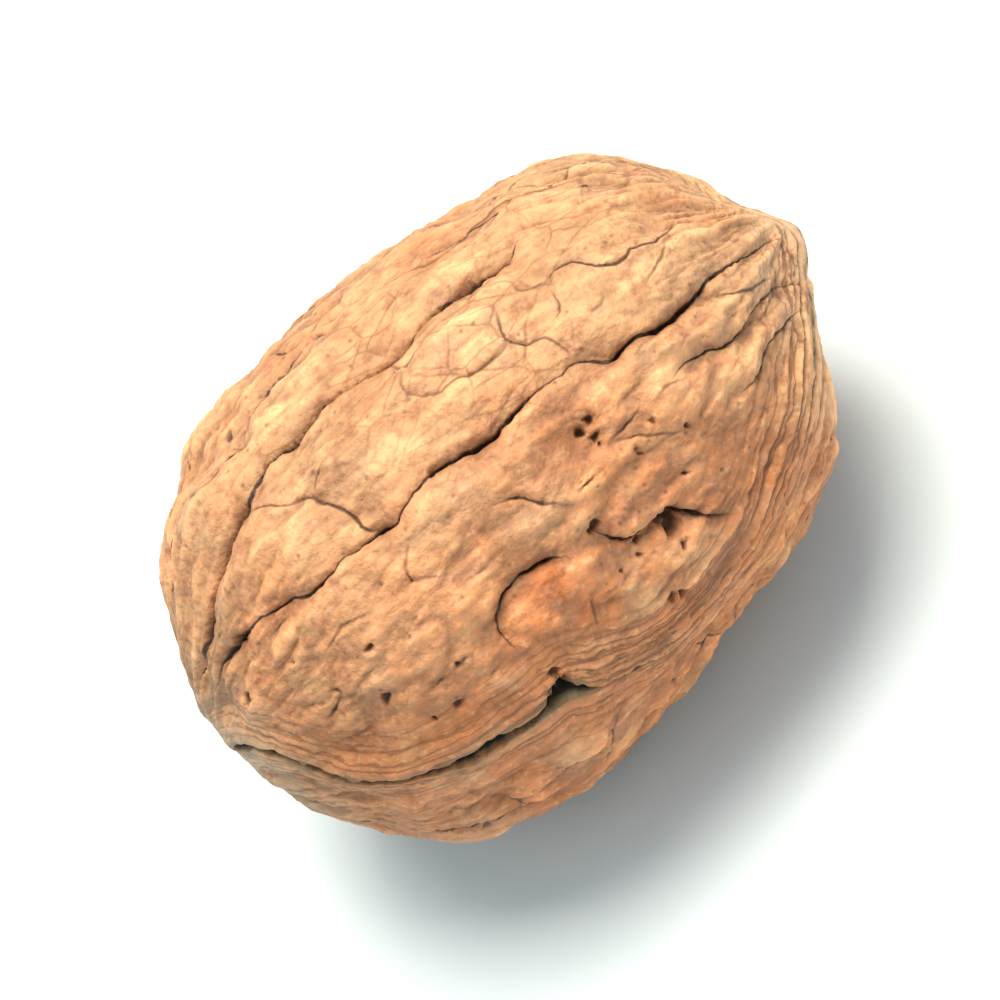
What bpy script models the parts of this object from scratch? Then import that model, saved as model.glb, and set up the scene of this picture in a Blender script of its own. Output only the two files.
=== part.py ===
"""A walnut in its shell, lying on its side on a small flat spot.

The nut's length runs along +X, from the stem end to the pointed tip. The seam between the two halves of
the shell lies level, and +Z is up. The origin is on the surface that the nut rests on.
"""

import math

import bmesh
import bpy
import numpy as np
from mathutils import Vector

# Driving dimensions, in metres.
MM = 0.001
NUT_LENGTH = 43.5 * MM
NUT_WIDTH = 31.0 * MM
NUT_HEIGHT = 30.4 * MM
FLAT_DEPTH = 0.45 * MM
FLAT_BARE = 9 * MM
FLAT_EVENNESS = 1.4

# The turned form: the distance from the nut's middle, as a share of half the length, at each angle from
# the tip's axis in degrees. The stem end is full and round, and the tip draws in to a blunt point.
FORM = ((0, 1.0), (6, 0.972), (11, 0.941), (17, 0.921), (29, 0.893), (38, 0.862), (48, 0.803), (60, 0.745),
        (75, 0.7), (90, 0.698), (104, 0.729), (118, 0.79), (132, 0.867), (144, 0.925), (154, 0.96),
        (163, 0.984), (172, 0.994), (180, 0.994))

# The nut isn't quite round. It is cut away a little at the tip, above and behind and twice by the nearer seam,
# and on its lower nearer side: the side that each cut faces, its depth, and its spread in degrees. The last
# few millimetres of the tip bend towards the seam's nearer side.
FORM_CUTS = (
    ((0.987, 0.124, 0.103), 1.5 * MM, 9),
    ((0.984, -0.137, -0.113), 1.2 * MM, 8),
    ((0.88, -0.365, -0.305), 1.2 * MM, 13),
    ((0.2, -0.75, -0.63), 0.65 * MM, 30),
)
TIP_BEND_START = 18 * MM
TIP_BEND_LENGTH = 3.75 * MM
TIP_BEND = np.array((0, -1.1 * MM, -0.9 * MM))

# The seam: a low double lip all round the nut, highest at the tip, with a fine crack between its halves.
SEAM_LIFT = 0.5 * MM
SEAM_REACH = 2.6 * MM
SEAM_SMOOTHNESS = 0.75
LIP_RISE = (0.35, 0.7, 0.9)
CRACK_DEPTH = 0.75 * MM
CRACK_REACH = 0.5 * MM
CRACK_DRIFT = 0.3
CRACK_DRIFT_SIZE = 6 * MM
SEAM_STEPS = 300

# Furrows are the deep lines along the nut, creases the fine lines between them. Both are shaken off their
# smooth routes, and fade at their ends.
FURROW_DEPTH = 0.85 * MM
FURROW_REACH = 0.8 * MM
VALLEY_DEPTH = 0.42 * MM
VALLEY_REACH = 2.4 * MM
CREASE_DEPTH = 0.34 * MM
CREASE_REACH = 0.6 * MM
DEEPEST_SHARE = 2
LINE_FADE = 1.2 * MM
GUIDE_STEP = 0.1 * MM
SHAKE = 0.95 * MM
SHAKE_SIZE = 3.2 * MM

# Routes of the furrows that show on the upper side: places along the nut in millimetres, turns about its
# length in degrees from straight up, towards -Y, and the share of the full depth at each place.
FURROWS = (
    ((-20.8, -6, 0.5), (-19.1, -3, 1.2), (-17.5, -2, 1.4), (-15.7, -3, 1.4), (-13.8, -4, 1.5), (-12.3, -4, 1.4),
     (-11.1, -4, 1.0), (-9, -6, 0.7), (-7.7, -7, 0.7), (-6, -6, 0.8), (-4, -7, 0.8), (-1.8, -5, 0.75),
     (0.4, -3, 1.1), (2.6, -4, 0.7), (4.5, -5, 1.0), (7.2, -5.5, 1.5), (9.1, -6, 1.1), (10.6, -9, 0.2)),
    ((-20.4, 7, 0.2), (-19.2, 9, 0.35), (-17, 13, 1.1), (-16.1, 15, 0.75), (-14.2, 18, 0.5), (-12.8, 21, 0.65),
     (-11.5, 24, 0.75), (-10, 25, 0.5), (-8.4, 24.5, 0.4), (-7.4, 25, 0.45), (-6.1, 26, 0.75), (-5.2, 27, 0.5),
     (-3.6, 25.5, 0.45), (-1.8, 25, 0.9), (-0.4, 25.5, 0.85), (1.7, 28, 1.2), (3.8, 28.5, 0.9), (4.9, 28, 0.55),
     (6.9, 28, 0.4), (8.1, 28.5, 0.45), (8.8, 31, 0.9), (9.6, 33, 1.2), (11.2, 33.5, 0.95), (13.4, 36, 1.15),
     (15.5, 36, 1.1), (17.3, 35.5, 0.7), (18.2, 36, 0.5), (19.5, 39, 0.4), (20.6, 42, 0.2)),
    ((2.1, 58, 1.1), (2.4, 61, 0.7), (3, 65, 0.8), (3.9, 67, 1.0), (5.2, 68, 1.3), (6, 70, 1.4), (6.7, 75, 0.9),
     (7.2, 79, 0.5), (8.3, 83, 0.2)),
    ((-5.5, 66, 0.2), (-5.5, 62, 0.4), (-5.3, 58, 0.4), (-4.2, 55, 0.5), (-3.6, 54, 0.6), (-2.7, 54, 0.75),
     (-1.9, 55, 1.0), (-0.8, 56, 1.0), (0.3, 58, 0.7)),
    ((10.7, 47.5, 0.3), (12.5, 47, 0.45), (13.8, 50, 0.5), (15, 53, 0.55), (16, 55, 0.5), (17.2, 54.5, 0.5),
     (18.5, 60, 0.4), (19.5, 74, 0.2)),
    ((13.2, 64, 0.4), (14.8, 66, 0.45), (16.4, 66, 0.5), (17.5, 68, 0.45), (18.7, 75, 0.3)),
    ((-16.4, 90, 0.2), (-14.5, 97, 0.35), (-13, 101, 0.4), (-12, 109, 0.4), (-10, 118, 0.3)),
)

# Creases of the upper side, given in the same way.
CREASES = (
    ((-11.6, -2, 0.4), (-10.2, 1, 0.7), (-9.3, 5, 0.6), (-7.9, 9, 0.7), (-7.4, 14, 0.9), (-7, 19, 1.0),
     (-6.8, 23.5, 1.0), (-6.1, 26, 0.8)),
    ((-7.7, 9.5, 0.8), (-6.5, 7, 0.7), (-5.4, 6, 0.4)),
    ((0.4, -3, 0.8), (0.9, 2, 0.7), (2, 1, 0.7), (2.6, -0.5, 0.4)),
    ((0.9, 2, 0.5), (0.2, 8, 0.4), (1.5, 12, 0.6), (2.9, 13, 0.6), (3.9, 15, 0.6), (5.1, 15.5, 0.6),
     (6.2, 15, 0.6)),
    ((7, 5, 0.5), (6.5, 10, 0.7), (6.2, 15, 0.7), (6.7, 18, 0.7), (7.7, 20, 0.6), (8.1, 25, 0.6),
     (8.1, 27.5, 0.6)),
    ((8.5, 1, 0.4), (8.5, 5, 0.5), (9.7, 8, 0.6), (10.5, 8, 0.5)),
    ((9.7, 10, 0.4), (9.7, 14, 0.6), (9.2, 18, 0.6), (8.4, 18.5, 0.5)),
    ((10.3, 23, 0.6), (11.4, 22, 0.6), (11.8, 19, 0.4)),
    ((9.9, 11, 0.6), (10.3, 7.5, 0.8), (11.1, 7, 0.8), (12, 10, 0.9), (12.5, 14, 1.0), (13.5, 16, 1.0),
     (14.6, 14.5, 0.9), (15.5, 15, 0.9), (16.6, 14, 0.7), (17.6, 8, 0.4)),
    ((16.3, 16, 0.7), (15.5, 21, 0.6), (14.2, 24, 0.6), (13.4, 26, 0.5)),
    ((16.1, 40, 0.7), (17.1, 46, 0.8), (18.1, 51, 0.7), (18.8, 57, 0.4)),
    ((9.2, 45, 0.4), (8.5, 47, 0.7), (7.1, 47.5, 0.7), (6.1, 47, 0.5)),
    ((9.2, 49, 0.5), (10.7, 48, 0.6), (12.1, 50, 0.5)),
    ((6.2, 47, 0.6), (8.2, 53, 0.6), (9.7, 58, 0.5)),
    ((2.9, 49, 0.8), (4, 50, 1.2), (4.9, 50, 0.9)),
    ((-0.8, 39, 0.6), (0.2, 40.5, 0.9), (1, 44, 1.0), (1.8, 47, 0.7), (2.5, 50, 0.5)),
    ((-5.3, 73, 0.6), (-5.3, 76, 0.9), (-5.2, 79, 0.7)),
    ((-5.2, 31, 0.4), (-6.2, 34, 0.45), (-7, 38, 0.5), (-6.1, 40, 0.45), (-4.9, 43, 0.3)),
    ((-13.3, 23, 0.6), (-14.8, 22, 0.8), (-15.6, 23, 0.4)),
    ((-16.5, 46, 0.5), (-15.8, 48, 0.8), (-14.8, 46, 0.8), (-14.1, 46, 0.5)),
    ((-19, 43, 0.6), (-18.1, 53, 0.7), (-16.6, 56, 0.7), (-14.9, 58, 0.7), (-14, 60, 0.4)),
    ((-10.8, 58, 0.5), (-8.7, 58, 0.6)),
    ((-8.7, 67, 0.5), (-7.7, 70, 0.6)),
    ((-0.1, 66, 0.4), (-1, 72, 0.6), (-1.8, 78, 0.4)),
    ((-10.6, 96, 0.3), (-9.4, 97, 0.4), (-8, 100.6, 0.3)),
    ((-2.7, 103, 0.3), (-1.8, 108.5, 0.35)),
    ((-13.8, 36, 0.4), (-11.4, 34.6, 0.6), (-9.2, 36.4, 0.5)),
    ((-17.6, 66, 0.5), (-15, 70, 0.6), (-11.2, 72, 0.5), (-8.4, 73, 0.6)),
    ((-9.3, -20, 0.5), (-6, -22.6, 0.6), (-2.2, -21.4, 0.4)),
    ((2.4, -24, 0.4), (6.6, -21.2, 0.6), (11.2, -24.4, 0.6), (15, -22, 0.5)),
)

# Pits and holes: the place along the nut in millimetres, the turn in degrees, the reach in millimetres,
# and the depth in millimetres.
PITS = (
    (-17, 13, 0.5, 0.35), (0.4, -3, 0.45, 0.4), (7, -6, 0.55, 0.45), (-1.8, 25, 0.5, 0.35),
    (6.4, 40, 0.45, 0.5), (5.5, 41, 0.5, 0.55), (5.8, 44, 0.45, 0.5), (8.7, 51, 0.4, 0.35),
    (10.1, 57, 0.4, 0.35), (7.2, 54, 0.4, 0.4), (5.7, 46, 0.35, 0.3), (7.9, 66, 0.35, 0.3),
    (9.6, 72, 0.4, 0.3), (2.1, 58, 0.6, 0.7), (5.6, 70, 1.0, 1.1), (5.4, 72.5, 0.9, 1.0),
    (5, 77, 0.45, 0.4), (3.5, 68, 0.35, 0.3), (2.9, 70.5, 0.4, 0.3), (1.7, 69, 0.3, 0.2),
    (2.5, 84, 0.5, 0.6), (3.2, 86, 0.45, 0.5), (9.4, 105, 0.6, 0.5), (-11.2, 42, 0.4, 0.35),
    (-8.2, 58, 0.45, 0.35), (-12.6, 54, 0.5, 0.35), (-9.9, 65, 0.45, 0.4), (-11.5, 64, 0.4, 0.35),
    (-15.3, 31, 0.35, 0.25), (-14.6, 44, 0.4, 0.3), (-18.5, 27, 0.6, 0.35), (-16.6, -31, 0.7, 0.35),
    (-7, 38, 0.35, 0.2), (-5.4, 79, 1.1, 0.9), (-6.2, 80.5, 0.7, 0.7), (-5.2, 75.5, 0.5, 0.6),
    (-1.7, -26.5, 0.6, 0.3), (-9.3, -26, 0.6, 0.25), (-15.6, 105, 0.5, 0.35),
)

# The seam's route on the nearer side, in the same way: here the last number is how far its crack gapes.
SEAM_ROUTE = (
    (-21.8, 20, 1.0), (-21.1, 32, 1.1), (-20.2, 43, 1.1), (-19.4, 51, 1.1), (-18.3, 64, 1.0), (-17.4, 70, 0.9),
    (-16.1, 74, 0.9), (-14.5, 76, 0.9), (-12.8, 77, 1.0), (-11, 78, 1.5), (-9.5, 79, 1.4), (-7.9, 80, 1.1),
    (-6.4, 80.5, 1.4), (-5.4, 81.5, 1.6), (-4.2, 85, 0.5), (-2.2, 89.5, 0.3), (0, 94, 0.25), (2.1, 96, 0.25),
    (6.4, 96, 0.25), (8.7, 95, 0.2), (11, 92.5, 0.25), (13.1, 89, 0.3), (15.5, 86, 0.35), (18, 84, 0.4),
    (21.8, 82, 0.45),
)
FAR_SEAM_TURN, FAR_SEAM_SWAY, FAR_SEAM_WAVE, FAR_SEAM_GAPE = 270, 4, 29, 0.6

# The far and under sides carry furrows, creases and pits of the same kinds, drawn by a seeded rule.
SEED = 7
FAR_SIDE_TURNS = (112, 126, 141, 155, 168, 182, 196, 210, 226, 241, 253, 287, 301, 318, 333)
FAR_SIDE_SPAN = (108, 336)
FAR_SIDE_CREASES = 90
FAR_SIDE_PITS = 60
FAR_SIDE_LINE_STEP = 2.4

# Lumps, knobs in rough patches, the net of shallow cells, and the ribs that run to both ends.
LUMP_HEIGHT = 0.95 * MM
LUMP_SIZE = 6.2 * MM
KNOB_HEIGHT = 0.27 * MM
KNOB_SIZE = 2.4 * MM
ROUGH_PATCH_SIZE = 9 * MM
SMOOTH_PATCH, ROUGH_PATCH = -0.2, 0.3
SMOOTH_SHARE, ROUGH_SHARE = 0.1, 1.0
NEARER_SIDE = (-4 * MM, -12 * MM)
NEARER_ROUGHNESS = 0.3
NET_DEPTH = 0.17 * MM
NET_LINE = 0.09
NET_CELL = 4.2 * MM
NET_STRETCH = 0.65
NET_SPAN = (math.radians(158), math.radians(172))
RIB_HEIGHT = 0.43 * MM
RIB_SIZE = 3.4 * MM
RIB_STRETCH = 0.16
POLE_REACH = (0.8 * MM, 4 * MM)

# A smooth round knoll stands out of the rough ground beside the seam.
KNOLL_ALONG = -1.7 * MM
KNOLL_TURN = math.radians(64)
KNOLL_HEIGHT = 0.55 * MM
KNOLL_REACH = 3.3 * MM

DIVISIONS = 7
MOST_TRIANGLES = 11400


def smooth_through(knots, values, at):
    """Values at the given places on a smooth line through the knots."""
    knots, values, at = (np.asarray(x, float) for x in (knots, values, at))
    slopes = np.gradient(values, knots, axis=0)
    i = np.clip(np.searchsorted(knots, at) - 1, 0, len(knots) - 2)
    span = knots[i + 1] - knots[i]
    t = (at - knots[i]) / span
    if values.ndim > 1:
        span, t = span[:, None], t[:, None]
    start, end = values[i], values[i + 1]
    bend_in, bend_out = span * slopes[i], span * slopes[i + 1]
    return (start * (2 * t**3 - 3 * t**2 + 1) + bend_in * (t**3 - 2 * t**2 + t)
            + end * (3 * t**2 - 2 * t**3) + bend_out * (t**3 - t**2))


def form_radius(polar):
    """Distance from the nut's middle to its turned form, at an angle from the tip's axis."""
    angles, shares = zip(*FORM)
    return smooth_through(angles, shares, np.degrees(polar)) * NUT_LENGTH / 2


HALF_TURN = np.linspace(0, math.pi, 361)
WIDEST = float((form_radius(HALF_TURN) * np.sin(HALF_TURN)).max())
FLAT_CENTRE = (-3.8 * MM, 0, -NUT_HEIGHT / 2)


def on_form(directions):
    """The turned form's points in the given directions from the nut's middle."""
    unit = directions / np.linalg.norm(directions, axis=1)[:, None]
    radius = form_radius(np.arccos(np.clip(unit[:, 0], -1, 1)))
    for towards, depth, spread in FORM_CUTS:
        off_cut = np.degrees(np.arccos(np.clip(unit @ towards, -1, 1)))
        radius = radius - depth * np.exp(-(off_cut / spread) ** 2)
    points = unit * radius[:, None] * (1, NUT_WIDTH / 2 / WIDEST, NUT_HEIGHT / 2 / WIDEST)
    bent = np.clip((points[:, 0] - TIP_BEND_START) / TIP_BEND_LENGTH, 0, None) ** 2
    return points + bent[:, None] * TIP_BEND


def place(along, turn):
    """Points of the form at places along the nut, and turns from straight up towards -Y in radians."""
    polar = np.linspace(0, math.pi, 1441)
    at = np.interp(-np.asarray(along), -form_radius(polar) * np.cos(polar), polar)
    return on_form(np.stack([np.cos(at), -np.sin(at) * np.sin(turn), np.sin(at) * np.cos(turn)], axis=1))


def guide(name, lines, **attributes):
    """A guide of joined points, with a value at each point for each attribute."""
    mesh = bpy.data.meshes.new(name)
    points, edges = [], []
    for line in lines:
        edges += [(i, i + 1) for i in range(len(points), len(points) + len(line) - 1)]
        points += [Vector(p) for p in line]
    mesh.from_pydata(points, edges, [])
    for attribute, values in attributes.items():
        mesh.attributes.new(attribute, "FLOAT", "POINT").data.foreach_set("value", np.concatenate(values))
    made = bpy.data.objects.new(name, mesh)
    made.hide_render = True
    made.display_type = "WIRE"
    bpy.data.collections["guides"].objects.link(made)
    return made


def line_guide(name, routes):
    """A guide that follows routes of places along the nut, turns, and shares of the full depth."""
    lines, depths = [], []
    for route in routes:
        route = np.array(route, float)
        along, turn, depth = route[:, 0] * MM, np.radians(route[:, 1]), route[:, 2]
        steps = np.hypot(np.diff(along), np.diff(turn) * NUT_WIDTH / 2)
        distance = np.concatenate([[0], np.cumsum(steps)])
        at = np.linspace(0, distance[-1], max(4, round(distance[-1] / GUIDE_STEP)))
        smooth = smooth_through(distance, np.stack([along, turn, depth], axis=1), at)
        lines.append(place(smooth[:, 0], smooth[:, 1]))
        fade = np.clip(np.minimum(at, distance[-1] - at) / LINE_FADE, 0, 1)
        depths.append(np.clip(smooth[:, 2], 0, DEEPEST_SHARE) * fade)
    return guide(name, lines, depth=depths)


def far_side_furrows(draw):
    """Long wavering furrows on the sides that face away, in three stretches each."""
    routes = []
    for turn in FAR_SIDE_TURNS:
        for start in (-20.4, draw.uniform(-9, -5), draw.uniform(5, 9)):
            length = draw.uniform(8, 13)
            along = np.arange(start, min(start + length, 20.4), FAR_SIDE_LINE_STEP)
            sway = draw.uniform(-3, 3) + np.cumsum(draw.uniform(-2.6, 2.6, len(along)))
            share = draw.uniform(0.35, 1.1)
            routes.append([(x, turn + s, share * draw.uniform(0.7, 1.1)) for x, s in zip(along, sway)])
    return routes


def far_side_creases(draw):
    """Short fine lines at a slant between the furrows of the far and under sides."""
    routes = []
    for _ in range(FAR_SIDE_CREASES):
        x, turn = draw.uniform(-17, 14), draw.uniform(*FAR_SIDE_SPAN)
        route = []
        for _ in range(draw.integers(3, 6)):
            route.append((x, turn, draw.uniform(0.4, 1.0)))
            x += draw.uniform(0.9, 2.4)
            turn += draw.uniform(-9, 9)
        routes.append(route)
    return routes


def far_side_pits(draw):
    """Pits scattered over the far and under sides."""
    pits = []
    for _ in range(FAR_SIDE_PITS):
        along, turn = draw.uniform(-19, 18), draw.uniform(*FAR_SIDE_SPAN)
        pits.append((along, turn, draw.uniform(0.3, 0.7), draw.uniform(0.2, 0.5)))
    return pits


def seam_guide():
    """The seam all round the nut, with the lips' rise and the crack's gape. Its far side sways slowly."""
    along = np.linspace(-NUT_LENGTH / 2, NUT_LENGTH / 2, SEAM_STEPS) * (1 - 1e-6)
    at, turns, gapes = np.array(SEAM_ROUTE, float).T
    near_turn = smooth_through(at * MM, turns, along)
    far_turn = FAR_SEAM_TURN + FAR_SEAM_SWAY * np.sin(along / MM * math.tau / FAR_SEAM_WAVE)
    near, far = (place(along, np.radians(turn)) for turn in (near_turn, far_turn))
    near_gape = smooth_through(at * MM, gapes, along)
    lips = np.concatenate([near, far[::-1]])
    rise = np.interp(lips[:, 0], (-NUT_LENGTH / 2, 0, NUT_LENGTH / 2), LIP_RISE)
    gape = np.concatenate([near_gape, np.full(len(far), FAR_SEAM_GAPE)])
    return guide("seam_guide", [lips], rise=[rise], gape=[gape])


def pit_guide(pits):
    """A loose point for each pit, with its reach and depth."""
    pits = np.array(pits)
    centres = place(pits[:, 0] * MM, np.radians(pits[:, 1]))
    return guide("pit_guide", [[c] for c in centres], reach=[pits[:, 2] * MM], depth=[pits[:, 3] * MM])


def make_guides():
    """Every line and point that the relief follows."""
    draw = np.random.default_rng(SEED)
    return {
        "Seam": seam_guide(),
        "Furrows": line_guide("furrow_guide", FURROWS + tuple(far_side_furrows(draw))),
        "Creases": line_guide("crease_guide", CREASES + tuple(far_side_creases(draw))),
        "Pits": pit_guide(PITS + tuple(far_side_pits(draw))),
    }


def add_node(tree, kind, inputs=None, **settings):
    """A node with its settings, its inputs given as values or as sockets to link."""
    node = tree.nodes.new(kind)
    for name, value in settings.items():
        setattr(node, name, value)
    for key, value in (inputs or {}).items():
        if isinstance(value, bpy.types.NodeSocket):
            tree.links.new(value, node.inputs[key])
        else:
            node.inputs[key].default_value = value
    return node


def relief_tree():
    """Raises the shell's relief from the turned form, along its normals."""
    tree = bpy.data.node_groups.new("shell_relief", "GeometryNodeTree")
    face = tree.interface
    face.new_socket("Shell", in_out="INPUT", socket_type="NodeSocketGeometry")
    for name in ("Seam", "Furrows", "Creases", "Pits"):
        face.new_socket(name, in_out="INPUT", socket_type="NodeSocketObject")
    face.new_socket("Shell", in_out="OUTPUT", socket_type="NodeSocketGeometry")
    given = add_node(tree, "NodeGroupInput").outputs

    def math_of(operation, a, b=0.0, c=0.0):
        return add_node(tree, "ShaderNodeMath", {0: a, 1: b, 2: c}, operation=operation).outputs[0]

    def eased(value, reach, height):
        """Height at value 0, falling smoothly to nothing at the reach."""
        return add_node(tree, "ShaderNodeMapRange", {0: value, 1: 0.0, 2: reach, 3: height, 4: 0.0},
                        interpolation_type="SMOOTHSTEP").outputs[0]

    def noise(vector, size, detail=2.0):
        """Smooth noise about zero, from -1 to 1, with lumps of the given size."""
        made = add_node(tree, "ShaderNodeTexNoise", {"Vector": vector, "Scale": 1 / size, "Detail": detail})
        return math_of("MULTIPLY_ADD", made.outputs["Fac"], 2.0, -1.0), made.outputs["Color"]

    position = add_node(tree, "GeometryNodeInputPosition").outputs[0]
    _, shake = noise(position, SHAKE_SIZE)
    centred = add_node(tree, "ShaderNodeVectorMath", {0: shake, 1: (0.5, 0.5, 0.5)}, operation="SUBTRACT")
    wobble = add_node(tree, "ShaderNodeVectorMath", {0: centred.outputs[0], "Scale": SHAKE}, operation="SCALE")
    shaken = add_node(tree, "ShaderNodeVectorMath", {0: position, 1: wobble.outputs[0]}).outputs[0]

    def near_guide(name, where, target, *attributes):
        """Distance to a guide, and those attributes at its nearest point."""
        geometry = add_node(tree, "GeometryNodeObjectInfo", {"Object": given[name]},
                            transform_space="ORIGINAL").outputs["Geometry"]
        distance = add_node(tree, "GeometryNodeProximity", {"Geometry": geometry, "Source Position": where},
                            target_element=target).outputs["Distance"]
        nearest = add_node(tree, "GeometryNodeSampleNearest", {"Geometry": geometry, "Sample Position": where},
                           domain="POINT").outputs[0]
        read = []
        for attribute in attributes:
            value = add_node(tree, "GeometryNodeInputNamedAttribute", {"Name": attribute}, data_type="FLOAT")
            read.append(add_node(tree, "GeometryNodeSampleIndex",
                                 {"Geometry": geometry, "Value": value.outputs[0], "Index": nearest},
                                 data_type="FLOAT", domain="POINT").outputs[0])
        return distance, *read

    # The furrows with the wide valleys round them, and the creases.
    distance, depth = near_guide("Furrows", shaken, "EDGES", "depth")
    cut = math_of("MULTIPLY", eased(distance, FURROW_REACH, FURROW_DEPTH), depth)
    valley = math_of("MULTIPLY", eased(distance, VALLEY_REACH, VALLEY_DEPTH), depth)
    distance, depth = near_guide("Creases", shaken, "EDGES", "depth")
    crease = math_of("MULTIPLY", eased(distance, CREASE_REACH, CREASE_DEPTH), depth)
    distance, reach, pit_depth = near_guide("Pits", shaken, "POINTS", "reach", "depth")
    pit = math_of("MULTIPLY", eased(math_of("DIVIDE", distance, reach), 1.0, 1.0), pit_depth)

    # The seam's lips and the crack between them.
    drift, _ = noise(position, CRACK_DRIFT_SIZE, 1.0)
    distance, rise, gape = near_guide("Seam", position, "EDGES", "rise", "gape")
    lips = math_of("MULTIPLY", eased(distance, SEAM_REACH, SEAM_LIFT), rise)
    crack = math_of("MULTIPLY", eased(distance, CRACK_REACH, CRACK_DEPTH), math_of("MINIMUM", gape, 1.0))
    crack = math_of("MULTIPLY", crack, math_of("MULTIPLY_ADD", drift, CRACK_DRIFT, 1.0))
    off_seam = math_of("SUBTRACT", 1.0, eased(distance, SEAM_REACH, SEAM_SMOOTHNESS))

    # Ribs are read from a cylinder round the nut, so that they close in at both ends. The net of cells is read
    # from that cylinder's wall laid flat, and fades out underneath, where the wall has its ends.
    split = add_node(tree, "ShaderNodeSeparateXYZ", {0: shaken}).outputs
    from_axis = add_node(tree, "ShaderNodeCombineXYZ", {1: split[1], 2: split[2]}).outputs[0]
    outward = add_node(tree, "ShaderNodeVectorMath", {0: from_axis}, operation="NORMALIZE").outputs[0]
    length = add_node(tree, "ShaderNodeVectorMath", {0: from_axis}, operation="LENGTH").outputs["Value"]
    off_pole = add_node(tree, "ShaderNodeMapRange", {0: length, 1: POLE_REACH[0], 2: POLE_REACH[1]}).outputs[0]
    wall = add_node(tree, "ShaderNodeVectorMath", {0: outward, "Scale": NUT_WIDTH / 2}, operation="SCALE")
    along = add_node(tree, "ShaderNodeCombineXYZ", {0: math_of("MULTIPLY", split[0], RIB_STRETCH)})
    on_cylinder = add_node(tree, "ShaderNodeVectorMath", {0: along.outputs[0], 1: wall.outputs[0]}).outputs[0]
    ribs, _ = noise(on_cylinder, RIB_SIZE, 1.0)
    ribs = math_of("MULTIPLY", math_of("MULTIPLY", ribs, RIB_HEIGHT), off_pole)

    turn = math_of("ARCTAN2", math_of("MULTIPLY", split[1], -1.0), split[2])
    laid_flat = add_node(tree, "ShaderNodeCombineXYZ", {0: math_of("MULTIPLY", split[0], NET_STRETCH),
                                                        1: math_of("MULTIPLY", turn, NUT_WIDTH / 2)})
    net = add_node(tree, "ShaderNodeTexVoronoi", {"Vector": laid_flat.outputs[0], "Scale": 1 / NET_CELL},
                   feature="DISTANCE_TO_EDGE", voronoi_dimensions="2D").outputs[0]
    from_top = math_of("ABSOLUTE", turn)
    net_share = add_node(tree, "ShaderNodeMapRange",
                         {0: from_top, 1: NET_SPAN[0], 2: NET_SPAN[1], 3: 1.0, 4: 0.0}).outputs[0]
    net_share = math_of("MULTIPLY", net_share, off_pole)
    net_line = math_of("MULTIPLY", eased(net, NET_LINE, NET_DEPTH), net_share)

    # Lumps all over, knobs in rough patches, which are more on the nearer side.
    lumps, _ = noise(position, LUMP_SIZE, 1.0)
    lumps = math_of("MULTIPLY", lumps, LUMP_HEIGHT)
    place_split = add_node(tree, "ShaderNodeSeparateXYZ", {0: position}).outputs
    nearer = add_node(tree, "ShaderNodeMapRange", {0: place_split[1], 1: NEARER_SIDE[0], 2: NEARER_SIDE[1],
                                                   3: 0.0, 4: NEARER_ROUGHNESS}).outputs[0]
    patches, _ = noise(position, ROUGH_PATCH_SIZE)
    patches = math_of("ADD", patches, nearer)
    rough = add_node(tree, "ShaderNodeMapRange", {0: patches, 1: SMOOTH_PATCH, 2: ROUGH_PATCH,
                                                  3: SMOOTH_SHARE, 4: ROUGH_SHARE}).outputs[0]
    knobs, _ = noise(position, KNOB_SIZE)
    knobs = math_of("MULTIPLY", math_of("MULTIPLY", knobs, KNOB_HEIGHT), rough)
    centre = place([KNOLL_ALONG], KNOLL_TURN)[0]
    from_knoll = add_node(tree, "ShaderNodeVectorMath", {0: position, 1: centre}, operation="DISTANCE")
    knoll = eased(from_knoll.outputs["Value"], KNOLL_REACH, KNOLL_HEIGHT)

    raised = math_of("ADD", math_of("ADD", ribs, lumps), knobs)
    lines = math_of("ADD", math_of("ADD", cut, valley), math_of("ADD", crease, net_line))
    body = math_of("MULTIPLY", math_of("SUBTRACT", raised, lines), off_seam)
    lipped = math_of("ADD", body, math_of("SUBTRACT", lips, crack))
    full = math_of("SUBTRACT", math_of("ADD", lipped, knoll), pit)
    # The relief dies out towards the flat spot, so that the nut rests on one clean face.
    lowest = add_node(tree, "ShaderNodeVectorMath", {0: position, 1: FLAT_CENTRE}, operation="DISTANCE")
    bare = math_of("MINIMUM", 1.0, eased(lowest.outputs["Value"], FLAT_BARE, FLAT_EVENNESS))
    height = math_of("MULTIPLY", full, math_of("SUBTRACT", 1.0, bare))
    normal = add_node(tree, "GeometryNodeInputNormal").outputs[0]
    offset = add_node(tree, "ShaderNodeVectorMath", {0: normal, "Scale": height}, operation="SCALE").outputs[0]
    moved = add_node(tree, "GeometryNodeSetPosition", {"Geometry": given["Shell"], "Offset": offset}).outputs[0]

    # The flat spot: nothing reaches below the surface that the nut rests on.
    there = add_node(tree, "ShaderNodeSeparateXYZ",
                     {0: add_node(tree, "GeometryNodeInputPosition").outputs[0]}).outputs
    lifted = add_node(tree, "ShaderNodeCombineXYZ",
                      {0: there[0], 1: there[1], 2: math_of("MAXIMUM", there[2], -NUT_HEIGHT / 2 + FLAT_DEPTH)})
    rested = add_node(tree, "GeometryNodeSetPosition", {"Geometry": moved, "Position": lifted.outputs[0]})
    out = add_node(tree, "NodeGroupOutput")
    tree.links.new(rested.outputs[0], out.inputs[0])
    return tree


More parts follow.
